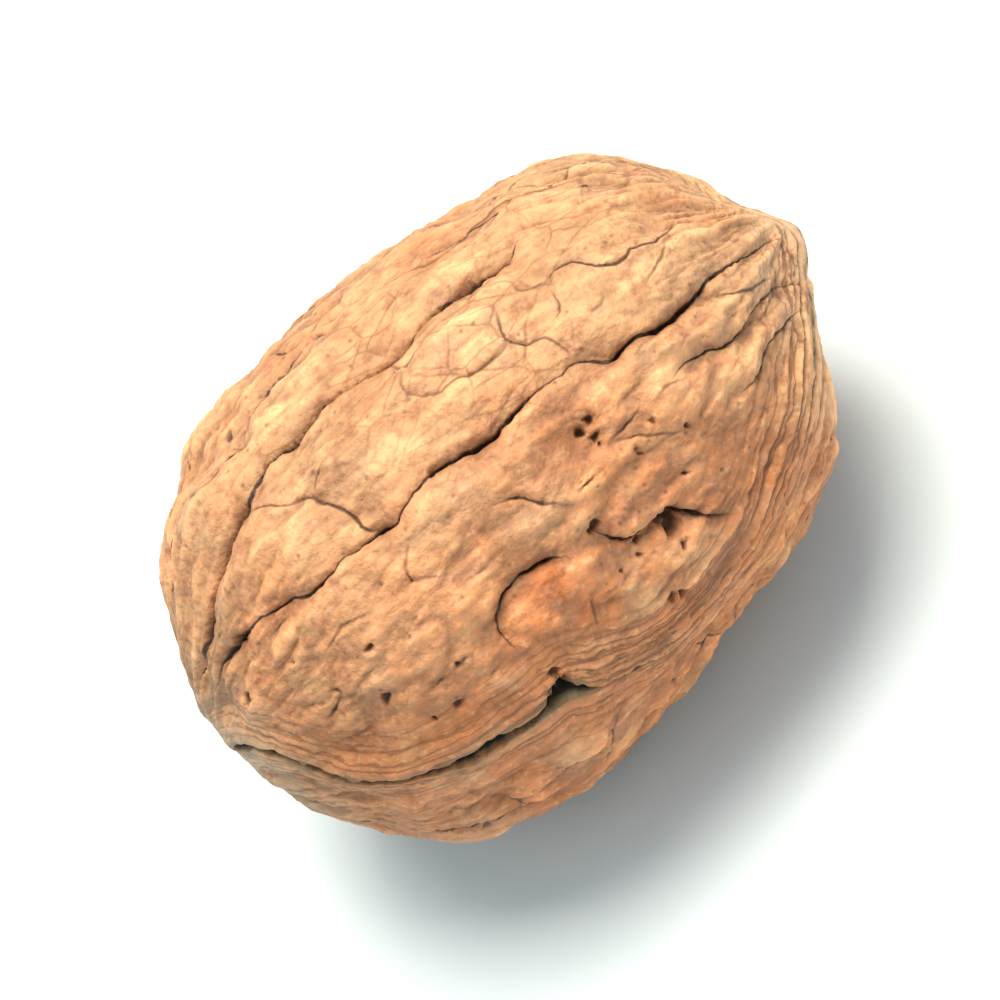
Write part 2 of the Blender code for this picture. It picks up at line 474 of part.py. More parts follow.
def make_form(divisions):
    """The turned form as a closed mesh, from an icosphere."""
    shaped = bmesh.new()
    bmesh.ops.create_icosphere(shaped, subdivisions=divisions, radius=1)
    mesh = bpy.data.meshes.new("walnut_shell")
    shaped.to_mesh(mesh)
    shaped.free()
    points = np.empty(len(mesh.vertices) * 3)
    mesh.vertices.foreach_get("co", points)
    mesh.vertices.foreach_set("co", on_form(points.reshape(-1, 3)).ravel())
    mesh.shade_smooth()
    return mesh


def shell_material():
    """Dry walnut shell."""
    material = bpy.data.materials.new("walnut_shell")
    material.use_nodes = True
    surface = material.node_tree.nodes["Principled BSDF"]
    surface.inputs["Base Color"].default_value = (0.56, 0.3, 0.13, 1)
    surface.inputs["Roughness"].default_value = 0.6
    surface.inputs["Metallic"].default_value = 0.0
    return material


def make_shell(divisions=DIVISIONS):
    """The shell on its flat spot, with the relief raised."""
    shell = bpy.data.objects.new("walnut_shell", make_form(divisions))
    bpy.data.collections["walnut"].objects.link(shell)
    shell.data.materials.append(shell_material())
    relief = shell.modifiers.new("relief", "NODES")
    relief.node_group = relief_tree()
    sockets = {s.name: s.identifier for s in relief.node_group.interface.items_tree if s.in_out == "INPUT"}
    for name, made in make_guides().items():
        relief[sockets[name]] = made
    shell.location.z = NUT_HEIGHT / 2 - FLAT_DEPTH
    return shell


def centre_over_origin(shell):
    """Moves the shell level with the floor, until the middle of its box is over the origin."""
    bpy.context.view_layer.update()
    evaluated = shell.evaluated_get(bpy.context.evaluated_depsgraph_get())
    corners = np.array([shell.matrix_world @ Vector(corner) for corner in evaluated.bound_box])
    middle = (corners.min(axis=0) + corners.max(axis=0)) / 2
    shell.location.x -= middle[0]
    shell.location.y -= middle[1]


def main():
    for old in list(bpy.data.objects):
        bpy.data.objects.remove(old)
    for name in ("walnut", "guides"):
        bpy.context.scene.collection.children.link(bpy.data.collections.new(name))
    shell = make_shell()
    thinned = shell.modifiers.new("thinned", "DECIMATE")
    thinned.ratio = MOST_TRIANGLES / (20 * 4 ** (DIVISIONS - 1))
    centre_over_origin(shell)


if __name__ == "__main__":
    main()
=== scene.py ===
import math

import bmesh
import bpy
import numpy as np
from mathutils import Matrix, Vector


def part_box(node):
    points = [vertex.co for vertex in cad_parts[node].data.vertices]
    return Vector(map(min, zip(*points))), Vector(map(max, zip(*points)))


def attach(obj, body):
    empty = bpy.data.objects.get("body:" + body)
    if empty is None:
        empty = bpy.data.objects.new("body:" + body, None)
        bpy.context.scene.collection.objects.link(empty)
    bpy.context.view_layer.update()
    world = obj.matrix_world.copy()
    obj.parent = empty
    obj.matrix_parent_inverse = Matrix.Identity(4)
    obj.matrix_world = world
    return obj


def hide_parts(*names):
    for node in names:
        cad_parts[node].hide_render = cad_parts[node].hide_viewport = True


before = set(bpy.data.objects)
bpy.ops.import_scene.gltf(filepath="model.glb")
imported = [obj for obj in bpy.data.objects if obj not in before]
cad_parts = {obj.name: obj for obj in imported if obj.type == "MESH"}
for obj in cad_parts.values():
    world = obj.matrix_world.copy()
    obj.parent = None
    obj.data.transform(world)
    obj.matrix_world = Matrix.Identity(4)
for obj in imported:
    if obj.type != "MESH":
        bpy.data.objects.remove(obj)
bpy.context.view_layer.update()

# The shell's form. A walnut's shell is hard, dry wood, two cupped halves that grew shut round the kernel.
# From the full, round stem end it swells to its widest just short of the middle, then draws in to a blunt
# tip. The relief in the next sections is raised from this turned form or sunk into it.
MM = 0.001
NUT_LENGTH = 43.5 * MM
NUT_WIDTH = 31.0 * MM
NUT_HEIGHT = 30.4 * MM
FORM_STEPS = 361
PLACE_STEPS = 1441

# The distance from the nut's middle, as a share of half the length, at each angle from the tip in degrees.
FORM = ((0, 1.0), (6, 0.972), (11, 0.941), (17, 0.921), (29, 0.893), (38, 0.862), (48, 0.803), (60, 0.745),
        (75, 0.7), (90, 0.698), (104, 0.729), (118, 0.79), (132, 0.867), (144, 0.925), (154, 0.96),
        (163, 0.984), (172, 0.994), (180, 0.994))

# The nut isn't quite round. It is cut away a little at the tip, above and behind and twice by the nearer
# seam, and on its lower nearer side. Each cut has the side that it faces, its depth, and its spread in
# degrees. The last few millimetres of the tip bend down towards the nearer seam.
FORM_CUTS = (
    ((0.987, 0.124, 0.103), 1.5 * MM, 9),
    ((0.984, -0.137, -0.113), 1.2 * MM, 8),
    ((0.88, -0.365, -0.305), 1.2 * MM, 13),
    ((0.2, -0.75, -0.63), 0.65 * MM, 30),
)
TIP_BEND_START = 18 * MM
TIP_BEND_LENGTH = 3.75 * MM
TIP_BEND = np.array((0, -1.1 * MM, -0.9 * MM))


def smooth_through(knots, values, at):
    """Values at the given places on a smooth line through the knots."""
    knots, values, at = (np.asarray(x, float) for x in (knots, values, at))
    slopes = np.gradient(values, knots, axis=0)
    i = np.clip(np.searchsorted(knots, at) - 1, 0, len(knots) - 2)
    span = knots[i + 1] - knots[i]
    t = (at - knots[i]) / span
    if values.ndim > 1:
        span, t = span[:, None], t[:, None]
    start, end = values[i], values[i + 1]
    bend_in, bend_out = span * slopes[i], span * slopes[i + 1]
    return (start * (2 * t**3 - 3 * t**2 + 1) + bend_in * (t**3 - 2 * t**2 + t)
            + end * (3 * t**2 - 2 * t**3) + bend_out * (t**3 - t**2))


def form_radius(polar):
    """Distance from the nut's middle to its turned form, at an angle from the tip's axis."""
    angles, shares = zip(*FORM)
    return smooth_through(angles, shares, np.degrees(polar)) * NUT_LENGTH / 2


half_turn = np.linspace(0, math.pi, FORM_STEPS)
widest = float((form_radius(half_turn) * np.sin(half_turn)).max())


def on_form(directions):
    """The turned form's points in the given directions from the nut's middle."""
    unit = directions / np.linalg.norm(directions, axis=1)[:, None]
    radius = form_radius(np.arccos(np.clip(unit[:, 0], -1, 1)))
    for towards, depth, spread in FORM_CUTS:
        off_cut = np.degrees(np.arccos(np.clip(unit @ towards, -1, 1)))
        radius = radius - depth * np.exp(-(off_cut / spread) ** 2)
    points = unit * radius[:, None] * (1, NUT_WIDTH / 2 / widest, NUT_HEIGHT / 2 / widest)
    bent = np.clip((points[:, 0] - TIP_BEND_START) / TIP_BEND_LENGTH, 0, None) ** 2
    return points + bent[:, None] * TIP_BEND


def place(along, turn):
    """Points of the form, from metres along the nut and turns in radians from straight up towards -Y."""
    polar = np.linspace(0, math.pi, PLACE_STEPS)
    at = np.interp(-np.asarray(along), -form_radius(polar) * np.cos(polar), polar)
    return on_form(np.stack([np.cos(at), -np.sin(at) * np.sin(turn), np.sin(at) * np.cos(turn)], axis=1))


# The lines in the shell. Veins in the green husk pressed long furrows into the soft shell, with finer
# creases between them and small holes where fibres ran in. Each line of figures is one route: places along
# the nut in millimetres, turns round it in degrees from straight up towards -Y, and the share of full depth.
FURROWS = (
    ((-20.8, -6, 0.5), (-19.1, -3, 1.2), (-17.5, -2, 1.4), (-15.7, -3, 1.4), (-13.8, -4, 1.5),
     (-12.3, -4, 1.4),
     (-11.1, -4, 1.0), (-9, -6, 0.7), (-7.7, -7, 0.7), (-6, -6, 0.8), (-4, -7, 0.8), (-1.8, -5, 0.75),
     (0.4, -3, 1.1), (2.6, -4, 0.7), (4.5, -5, 1.0), (7.2, -5.5, 1.5), (9.1, -6, 1.1), (10.6, -9, 0.2)),
    ((-20.4, 7, 0.2), (-19.2, 9, 0.35), (-17, 13, 1.1), (-16.1, 15, 0.75), (-14.2, 18, 0.5),
     (-12.8, 21, 0.65),
     (-11.5, 24, 0.75), (-10, 25, 0.5), (-8.4, 24.5, 0.4), (-7.4, 25, 0.45), (-6.1, 26, 0.75),
     (-5.2, 27, 0.5),
     (-3.6, 25.5, 0.45), (-1.8, 25, 0.9), (-0.4, 25.5, 0.85), (1.7, 28, 1.2), (3.8, 28.5, 0.9),
     (4.9, 28, 0.55),
     (6.9, 28, 0.4), (8.1, 28.5, 0.45), (8.8, 31, 0.9), (9.6, 33, 1.2), (11.2, 33.5, 0.95),
     (13.4, 36, 1.15),
     (15.5, 36, 1.1), (17.3, 35.5, 0.7), (18.2, 36, 0.5), (19.5, 39, 0.4), (20.6, 42, 0.2)),
    ((2.1, 58, 1.1), (2.4, 61, 0.7), (3, 65, 0.8), (3.9, 67, 1.0), (5.2, 68, 1.3), (6, 70, 1.4),
     (6.7, 75, 0.9),
     (7.2, 79, 0.5), (8.3, 83, 0.2)),
    ((-5.5, 66, 0.2), (-5.5, 62, 0.4), (-5.3, 58, 0.4), (-4.2, 55, 0.5), (-3.6, 54, 0.6), (-2.7, 54, 0.75),
     (-1.9, 55, 1.0), (-0.8, 56, 1.0), (0.3, 58, 0.7)),
    ((10.7, 47.5, 0.3), (12.5, 47, 0.45), (13.8, 50, 0.5), (15, 53, 0.55), (16, 55, 0.5), (17.2, 54.5, 0.5),
     (18.5, 60, 0.4), (19.5, 74, 0.2)),
    ((13.2, 64, 0.4), (14.8, 66, 0.45), (16.4, 66, 0.5), (17.5, 68, 0.45), (18.7, 75, 0.3)),
    ((-16.4, 90, 0.2), (-14.5, 97, 0.35), (-13, 101, 0.4), (-12, 109, 0.4), (-10, 118, 0.3)),
)

CREASES = (
    ((-11.6, -2, 0.4), (-10.2, 1, 0.7), (-9.3, 5, 0.6), (-7.9, 9, 0.7), (-7.4, 14, 0.9), (-7, 19, 1.0),
     (-6.8, 23.5, 1.0), (-6.1, 26, 0.8)),
    ((-7.7, 9.5, 0.8), (-6.5, 7, 0.7), (-5.4, 6, 0.4)),
    ((0.4, -3, 0.8), (0.9, 2, 0.7), (2, 1, 0.7), (2.6, -0.5, 0.4)),
    ((0.9, 2, 0.5), (0.2, 8, 0.4), (1.5, 12, 0.6), (2.9, 13, 0.6), (3.9, 15, 0.6), (5.1, 15.5, 0.6),
     (6.2, 15, 0.6)),
    ((7, 5, 0.5), (6.5, 10, 0.7), (6.2, 15, 0.7), (6.7, 18, 0.7), (7.7, 20, 0.6), (8.1, 25, 0.6),
     (8.1, 27.5, 0.6)),
    ((8.5, 1, 0.4), (8.5, 5, 0.5), (9.7, 8, 0.6), (10.5, 8, 0.5)),
    ((9.7, 10, 0.4), (9.7, 14, 0.6), (9.2, 18, 0.6), (8.4, 18.5, 0.5)),
    ((10.3, 23, 0.6), (11.4, 22, 0.6), (11.8, 19, 0.4)),
    ((9.9, 11, 0.6), (10.3, 7.5, 0.8), (11.1, 7, 0.8), (12, 10, 0.9), (12.5, 14, 1.0), (13.5, 16, 1.0),
     (14.6, 14.5, 0.9), (15.5, 15, 0.9), (16.6, 14, 0.7), (17.6, 8, 0.4)),
    ((16.3, 16, 0.7), (15.5, 21, 0.6), (14.2, 24, 0.6), (13.4, 26, 0.5)),
    ((16.1, 40, 0.7), (17.1, 46, 0.8), (18.1, 51, 0.7), (18.8, 57, 0.4)),
    ((9.2, 45, 0.4), (8.5, 47, 0.7), (7.1, 47.5, 0.7), (6.1, 47, 0.5)),
    ((9.2, 49, 0.5), (10.7, 48, 0.6), (12.1, 50, 0.5)),
    ((6.2, 47, 0.6), (8.2, 53, 0.6), (9.7, 58, 0.5)),
    ((2.9, 49, 0.8), (4, 50, 1.2), (4.9, 50, 0.9)),
    ((-0.8, 39, 0.6), (0.2, 40.5, 0.9), (1, 44, 1.0), (1.8, 47, 0.7), (2.5, 50, 0.5)),
    ((-5.3, 73, 0.6), (-5.3, 76, 0.9), (-5.2, 79, 0.7)),
    ((-5.2, 31, 0.4), (-6.2, 34, 0.45), (-7, 38, 0.5), (-6.1, 40, 0.45), (-4.9, 43, 0.3)),
    ((-13.3, 23, 0.6), (-14.8, 22, 0.8), (-15.6, 23, 0.4)),
    ((-16.5, 46, 0.5), (-15.8, 48, 0.8), (-14.8, 46, 0.8), (-14.1, 46, 0.5)),
    ((-19, 43, 0.6), (-18.1, 53, 0.7), (-16.6, 56, 0.7), (-14.9, 58, 0.7), (-14, 60, 0.4)),
    ((-10.8, 58, 0.5), (-8.7, 58, 0.6)),
    ((-8.7, 67, 0.5), (-7.7, 70, 0.6)),
    ((-0.1, 66, 0.4), (-1, 72, 0.6), (-1.8, 78, 0.4)),
    ((-10.6, 96, 0.3), (-9.4, 97, 0.4), (-8, 100.6, 0.3)),
    ((-2.7, 103, 0.3), (-1.8, 108.5, 0.35)),
    ((-13.8, 36, 0.4), (-11.4, 34.6, 0.6), (-9.2, 36.4, 0.5)),
    ((-17.6, 66, 0.5), (-15, 70, 0.6), (-11.2, 72, 0.5), (-8.4, 73, 0.6)),
    ((-9.3, -20, 0.5), (-6, -22.6, 0.6), (-2.2, -21.4, 0.4)),
    ((2.4, -24, 0.4), (6.6, -21.2, 0.6), (11.2, -24.4, 0.6), (15, -22, 0.5)),
)

# The place along the nut, the turn, the reach and the depth of each pit, in millimetres and degrees.
PITS = (
    (-17, 13, 0.5, 0.35), (0.4, -3, 0.45, 0.4), (7, -6, 0.55, 0.45), (-1.8, 25, 0.5, 0.35),
    (6.4, 40, 0.45, 0.5), (5.5, 41, 0.5, 0.55), (5.8, 44, 0.45, 0.5), (8.7, 51, 0.4, 0.35),
    (10.1, 57, 0.4, 0.35), (7.2, 54, 0.4, 0.4), (5.7, 46, 0.35, 0.3), (7.9, 66, 0.35, 0.3),
    (9.6, 72, 0.4, 0.3), (2.1, 58, 0.6, 0.7), (5.6, 70, 1.0, 1.1), (5.4, 72.5, 0.9, 1.0),
    (5, 77, 0.45, 0.4), (3.5, 68, 0.35, 0.3), (2.9, 70.5, 0.4, 0.3), (1.7, 69, 0.3, 0.2),
    (2.5, 84, 0.5, 0.6), (3.2, 86, 0.45, 0.5), (9.4, 105, 0.6, 0.5), (-11.2, 42, 0.4, 0.35),
    (-8.2, 58, 0.45, 0.35), (-12.6, 54, 0.5, 0.35), (-9.9, 65, 0.45, 0.4), (-11.5, 64, 0.4, 0.35),
    (-15.3, 31, 0.35, 0.25), (-14.6, 44, 0.4, 0.3), (-18.5, 27, 0.6, 0.35), (-16.6, -31, 0.7, 0.35),
    (-7, 38, 0.35, 0.2), (-5.4, 79, 1.1, 0.9), (-6.2, 80.5, 0.7, 0.7), (-5.2, 75.5, 0.5, 0.6),
    (-1.7, -26.5, 0.6, 0.3), (-9.3, -26, 0.6, 0.25), (-15.6, 105, 0.5, 0.35),
)

# The seam's route on the nearer side, in the same way: here the last number is how far its crack gapes.
SEAM_ROUTE = (
    (-21.8, 20, 1.0), (-21.1, 32, 1.1), (-20.2, 43, 1.1), (-19.4, 51, 1.1), (-18.3, 64, 1.0),
     (-17.4, 70, 0.9),
    (-16.1, 74, 0.9), (-14.5, 76, 0.9), (-12.8, 77, 1.0), (-11, 78, 1.5), (-9.5, 79, 1.4), (-7.9, 80, 1.1),
    (-6.4, 80.5, 1.4), (-5.4, 81.5, 1.6), (-4.2, 85, 0.5), (-2.2, 89.5, 0.3), (0, 94, 0.25),
     (2.1, 96, 0.25),
    (6.4, 96, 0.25), (8.7, 95, 0.2), (11, 92.5, 0.25), (13.1, 89, 0.3), (15.5, 86, 0.35), (18, 84, 0.4),
    (21.8, 82, 0.45),
)
FAR_SEAM_TURN, FAR_SEAM_SWAY, FAR_SEAM_WAVE, FAR_SEAM_GAPE = 270, 4, 29, 0.6

# The sides that face away carry lines of the same kinds, drawn by a rule with a fixed seed.
SEED = 7
FAR_SIDE_TURNS = (112, 126, 141, 155, 168, 182, 196, 210, 226, 241, 253, 287, 301, 318, 333)
FAR_SIDE_SPAN = (108, 336)
FAR_SIDE_CREASES = 90
FAR_SIDE_PITS = 60
FARTHEST_ALONG = 20.4
FURROW_STEP = 2.4
GUIDE_STEP = 0.06 * MM
FEWEST_STEPS = 4
LINE_FADE = 1.2 * MM
DEEPEST_SHARE = 2
SEAM_STEPS = 900
SHORT_OF_POLES = 1 - 1e-6
# The lips' rise at the stem end, the middle and the tip, as shares of the full lift.
LIP_RISE = (0.35, 0.7, 0.9)
# A smooth round knoll stands out of the rough ground beside the seam.
KNOLL = Vector(place([-1.7 * MM], np.radians([64]))[0])


def far_side_furrows(draw):
    """Long wavering furrows on the sides that face away, in three stretches each."""
    routes = []
    for turn in FAR_SIDE_TURNS:
        for start in (-FARTHEST_ALONG, draw.uniform(-9, -5), draw.uniform(5, 9)):
            length = draw.uniform(8, 13)
            along = np.arange(start, min(start + length, FARTHEST_ALONG), FURROW_STEP)
            sway = draw.uniform(-3, 3) + np.cumsum(draw.uniform(-2.6, 2.6, len(along)))
            share = draw.uniform(0.35, 1.1)
            routes.append([(x, turn + s, share * draw.uniform(0.7, 1.1)) for x, s in zip(along, sway)])
    return routes


def far_side_creases(draw):
    """Short fine lines at a slant between the furrows of the far and under sides."""
    routes = []
    for _ in range(FAR_SIDE_CREASES):
        x, turn = draw.uniform(-17, 14), draw.uniform(*FAR_SIDE_SPAN)
        route = []
        for _ in range(draw.integers(3, 6)):
            route.append((x, turn, draw.uniform(0.4, 1.0)))
            x += draw.uniform(0.9, 2.4)
            turn += draw.uniform(-9, 9)
        routes.append(route)
    return routes


def far_side_pits(draw):
    """Pits scattered over the far and under sides."""
    pits = []
    for _ in range(FAR_SIDE_PITS):
        x, turn = draw.uniform(-19, 18), draw.uniform(*FAR_SIDE_SPAN)
        pits.append((x, turn, draw.uniform(0.3, 0.7), draw.uniform(0.2, 0.5)))
    return pits


def guide(name, lines, **attributes):
    """A hidden guide of joined points, with its direction and a value at each point for each attribute."""
    mesh = bpy.data.meshes.new(name)
    points, edges, directions = [], [], []
    for line in lines:
        edges += [(i, i + 1) for i in range(len(points), len(points) + len(line) - 1)]
        points += [Vector(p) for p in line]
        ahead = np.gradient(line, axis=0) if len(line) > 1 else np.ones((1, 3))
        directions.append(ahead / np.linalg.norm(ahead, axis=1)[:, None])
    mesh.from_pydata(points, edges, [])
    direction = mesh.attributes.new("direction", "FLOAT_VECTOR", "POINT")
    direction.data.foreach_set("vector", np.concatenate(directions).ravel())
    for attribute, values in attributes.items():
        mesh.attributes.new(attribute, "FLOAT", "POINT").data.foreach_set("value", np.concatenate(values))
    made = bpy.data.objects.new(name, mesh)
    made.hide_render = True
    bpy.context.scene.collection.objects.link(made)
    return made


def line_guide(name, routes):
    """A guide that follows routes of places along the nut, turns, and shares of the full depth."""
    lines, depths = [], []
    for route in routes:
        route = np.array(route, float)
        along, turn, depth = route[:, 0] * MM, np.radians(route[:, 1]), route[:, 2]
        steps = np.hypot(np.diff(along), np.diff(turn) * NUT_WIDTH / 2)
        distance = np.concatenate([[0], np.cumsum(steps)])
        at = np.linspace(0, distance[-1], max(FEWEST_STEPS, round(distance[-1] / GUIDE_STEP)))
        smooth = smooth_through(distance, np.stack([along, turn, depth], axis=1), at)
        lines.append(place(smooth[:, 0], smooth[:, 1]))
        fade = np.clip(np.minimum(at, distance[-1] - at) / LINE_FADE, 0, 1)
        depths.append(np.clip(smooth[:, 2], 0, DEEPEST_SHARE) * fade)
    return guide(name, lines, depth=depths)


def seam_guide():
    """The seam all round the nut, with its lips' rise and its crack's gape. Its far side sways slowly."""
    along = np.linspace(-NUT_LENGTH / 2, NUT_LENGTH / 2, SEAM_STEPS) * SHORT_OF_POLES
    at, turns, gapes = np.array(SEAM_ROUTE, float).T
    near_turn = smooth_through(at * MM, turns, along)
    far_turn = FAR_SEAM_TURN + FAR_SEAM_SWAY * np.sin(along / MM * math.tau / FAR_SEAM_WAVE)
    near, far = (place(along, np.radians(turn)) for turn in (near_turn, far_turn))
    near_gape = smooth_through(at * MM, gapes, along)
    lips = np.concatenate([near, far[::-1]])
    rise = np.interp(lips[:, 0], (-NUT_LENGTH / 2, 0, NUT_LENGTH / 2), LIP_RISE)
    gape = np.concatenate([near_gape, np.full(len(far), FAR_SEAM_GAPE)])
    return guide("seam_guide", [lips], rise=[rise], gape=[gape])


def pit_guide(pits):
    """A loose point for each pit, with its reach and depth."""
    pits = np.array(pits)
    centres = place(pits[:, 0] * MM, np.radians(pits[:, 1]))
    return guide("pit_guide", [[c] for c in centres], reach=[pits[:, 2] * MM], depth=[pits[:, 3] * MM])


draw = np.random.default_rng(SEED)
guides = {
    "Seam": seam_guide(),
    "Furrows": line_guide("furrow_guide", FURROWS + tuple(far_side_furrows(draw))),
    "Creases": line_guide("crease_guide", CREASES + tuple(far_side_creases(draw))),
    "Pits": pit_guide(PITS + tuple(far_side_pits(draw))),
}

# The relief. The lines' depths, the lumps between them and the seam's lips are added up into one height at
# each point, and the form is moved by it along its normals. The marks that the finish needs, such as how
# deep in a furrow a point lies, are kept on the mesh.
RELIEF_SIZES = {
    "Furrow slit depth": 0.7 * MM,
    "Furrow slit reach": 0.22 * MM,
    "Furrow shoulder depth": 0.3 * MM,
    "Furrow shoulder reach": 0.75 * MM,
    "Valley depth": 0.3 * MM,
    "Valley reach": 2.4 * MM,
    "Overlap height": 0.22 * MM,
    "Overlap reach": 1.7 * MM,
    "Crease depth": 0.22 * MM,
    "Crease reach": 0.2 * MM,
    "Crease shoulder depth": 0.14 * MM,
    "Crease shoulder reach": 0.7 * MM,
    "Pit raggedness": 0.75 * MM,
    "Seam lift": 0.5 * MM,
    "Seam reach": 2.6 * MM,
    "Crack depth": 1.15 * MM,
    "Crack reach": 0.36 * MM,
    "Knoll height": 0.55 * MM,
    "Knoll reach": 3.3 * MM,
    "Net depth": 0.08 * MM,
    "Net cell": 4.2 * MM,
    "Net stretch": 0.65,
    "Rib stretch": 0.16,
    "Streak stretch": 0.05,
    "Lump height": 1.9 * MM,
    "Lump size": 6.2 * MM,
    "Knob height": 0.55 * MM,
    "Knob size": 2.4 * MM,
    "Rib height": 0.86 * MM,
    "Rib size": 3.4 * MM,
    "Wrinkle height": 0.8 * MM,
    "Wrinkle size": 1.5 * MM,
    "Crinkle height": 1.8 * MM,
    "Crinkle size": 2.2 * MM,
    "Crinkle stretch": 0.5,
    "Streak height": 1.4 * MM,
    "Streak size": 1.0 * MM,
    "Grain height": 0.16 * MM,
    "Grain size": 0.55 * MM,
}


def add(tree, kind, *inputs, out=0, **settings):
    """Adds a node with its settings, feeds its inputs in turn or by name, and gives one of its outputs."""
    node = tree.nodes.new(kind)
    for name, value in settings.items():
        setattr(node, name, value)
    named = inputs[0] if inputs and isinstance(inputs[0], dict) else dict(enumerate(inputs))
    for key, value in named.items():
        if isinstance(value, bpy.types.NodeSocket):
            tree.links.new(value, node.inputs[key])
        elif value is not None:
            node.inputs[key].default_value = value
    return node.outputs[out]


relief = bpy.data.node_groups.new("shell_relief", "GeometryNodeTree")
relief.interface.new_socket("Shell", in_out="INPUT", socket_type="NodeSocketGeometry")
for name in guides:
    relief.interface.new_socket(name, in_out="INPUT", socket_type="NodeSocketObject")
for name in RELIEF_SIZES:
    relief.interface.new_socket(name, in_out="INPUT", socket_type="NodeSocketFloat")
relief.interface.new_socket("Finish", in_out="INPUT", socket_type="NodeSocketMaterial")
relief.interface.new_socket("Shell", in_out="OUTPUT", socket_type="NodeSocketGeometry")
given = relief.nodes.new("NodeGroupInput").outputs
position = add(relief, "GeometryNodeInputPosition")
normal = add(relief, "GeometryNodeInputNormal")

# From here on, four numbers under one name say where a measure starts and ends, and the share at each.
# EASED goes with those that ease in and out instead of running straight.
EASED = {"interpolation_type": "SMOOTHSTEP"}
NOISE_MIDDLE = 0.5

# The guides are smooth, so the place that is looked up on them is shaken, once slowly and once finely.
# Each shake has a reach and a size.
SHAKES = ((0.95 * MM, 3.2 * MM), (0.36 * MM, 0.75 * MM))
shaken = position
for reach, size in SHAKES:
    shake = add(relief, "ShaderNodeTexNoise", {"Vector": position, "Scale": 1 / size, "Detail": 2.0},
                out="Color")
    centred = add(relief, "ShaderNodeVectorMath", shake, (NOISE_MIDDLE,) * 3, operation="SUBTRACT")
    scaled = add(relief, "ShaderNodeVectorMath", {0: centred, "Scale": reach}, operation="SCALE")
    shaken = add(relief, "ShaderNodeVectorMath", shaken, scaled)


def nearest_on(name, where, element, *attributes):
    """Distance to a guide, which side of it the place lies on, and the values of its nearest point."""
    shape = add(relief, "GeometryNodeObjectInfo", {"Object": given[name]}, out="Geometry",
                transform_space="ORIGINAL")
    nearest = add(relief, "GeometryNodeProximity", {"Geometry": shape, "Source Position": where},
                  target_element=element).node.outputs
    index = add(relief, "GeometryNodeSampleNearest", {"Geometry": shape, "Sample Position": where},
                domain="POINT")
    carried = []
    for attribute in ("direction", *attributes):
        kind = "FLOAT_VECTOR" if attribute == "direction" else "FLOAT"
        value = add(relief, "GeometryNodeInputNamedAttribute", {"Name": attribute}, data_type=kind)
        picked = {"Geometry": shape, "Index": index, "Value": value}
        carried.append(add(relief, "GeometryNodeSampleIndex", picked, data_type=kind, domain="POINT"))
    aside = add(relief, "ShaderNodeVectorMath", where, nearest["Position"], operation="SUBTRACT")
    across = add(relief, "ShaderNodeVectorMath", normal, carried[0], operation="CROSS_PRODUCT")
    side = add(relief, "ShaderNodeVectorMath", aside, across, out="Value", operation="DOT_PRODUCT")
    return nearest["Distance"], side, *carried[1:]


furrow_distance, furrow_side, furrow_share = nearest_on("Furrows", shaken, "EDGES", "depth")
crease_distance, crease_side, crease_share = nearest_on("Creases", shaken, "EDGES", "depth")
seam_distance, seam_side, rise, gape = nearest_on("Seam", position, "EDGES", "rise", "gape")

# Pits have ragged mouths, so the place that is looked up on them is shaken again.
TEAR_SIZE = 0.8 * MM
torn = add(relief, "ShaderNodeTexNoise", {"Vector": position, "Scale": 1 / TEAR_SIZE, "Detail": 1.0},
           out="Color")
torn = add(relief, "ShaderNodeVectorMath", torn, (NOISE_MIDDLE,) * 3, operation="SUBTRACT")
torn = add(relief, "ShaderNodeVectorMath", {0: torn, "Scale": given["Pit raggedness"]}, operation="SCALE")
torn = add(relief, "ShaderNodeVectorMath", shaken, torn)
pit_distance, _, pit_reach, pit_depth = nearest_on("Pits", torn, "POINTS", "reach", "depth")
in_pit = add(relief, "ShaderNodeMath", pit_distance, pit_reach, operation="DIVIDE")

# The seam's crack frays: noise of two sizes moves its side, but nowhere far from the seam. It narrows and
# widens too.
FRAYS = ((0.9 * MM, 0.6 * MM), (4 * MM, 1.2 * MM))
FRAYS_WITHIN = 1.5 * MM
WIDTH_SIZE = 2.5 * MM
WIDTHS = (0.3, 0.7, 0.65, 1.35)
for size, reach in FRAYS:
    fray = add(relief, "ShaderNodeTexNoise", {"Vector": position, "Scale": 1 / size})
    fray = add(relief, "ShaderNodeMath", fray, NOISE_MIDDLE, operation="SUBTRACT")
    seam_side = add(relief, "ShaderNodeMath", fray, reach, seam_side, operation="MULTIPLY_ADD")
crack_distance = add(relief, "ShaderNodeMath", seam_side, operation="ABSOLUTE")
far_off = add(relief, "ShaderNodeMath", seam_distance, FRAYS_WITHIN, operation="SUBTRACT")
crack_distance = add(relief, "ShaderNodeMath", crack_distance, far_off, operation="MAXIMUM")
widths = add(relief, "ShaderNodeTexNoise", {"Vector": position, "Scale": 1 / WIDTH_SIZE})
widths = add(relief, "ShaderNodeMapRange", widths, *WIDTHS)
crack_reach = add(relief, "ShaderNodeMath", given["Crack reach"], gape, operation="MULTIPLY")
crack_reach = add(relief, "ShaderNodeMath", crack_reach, widths, operation="MULTIPLY")

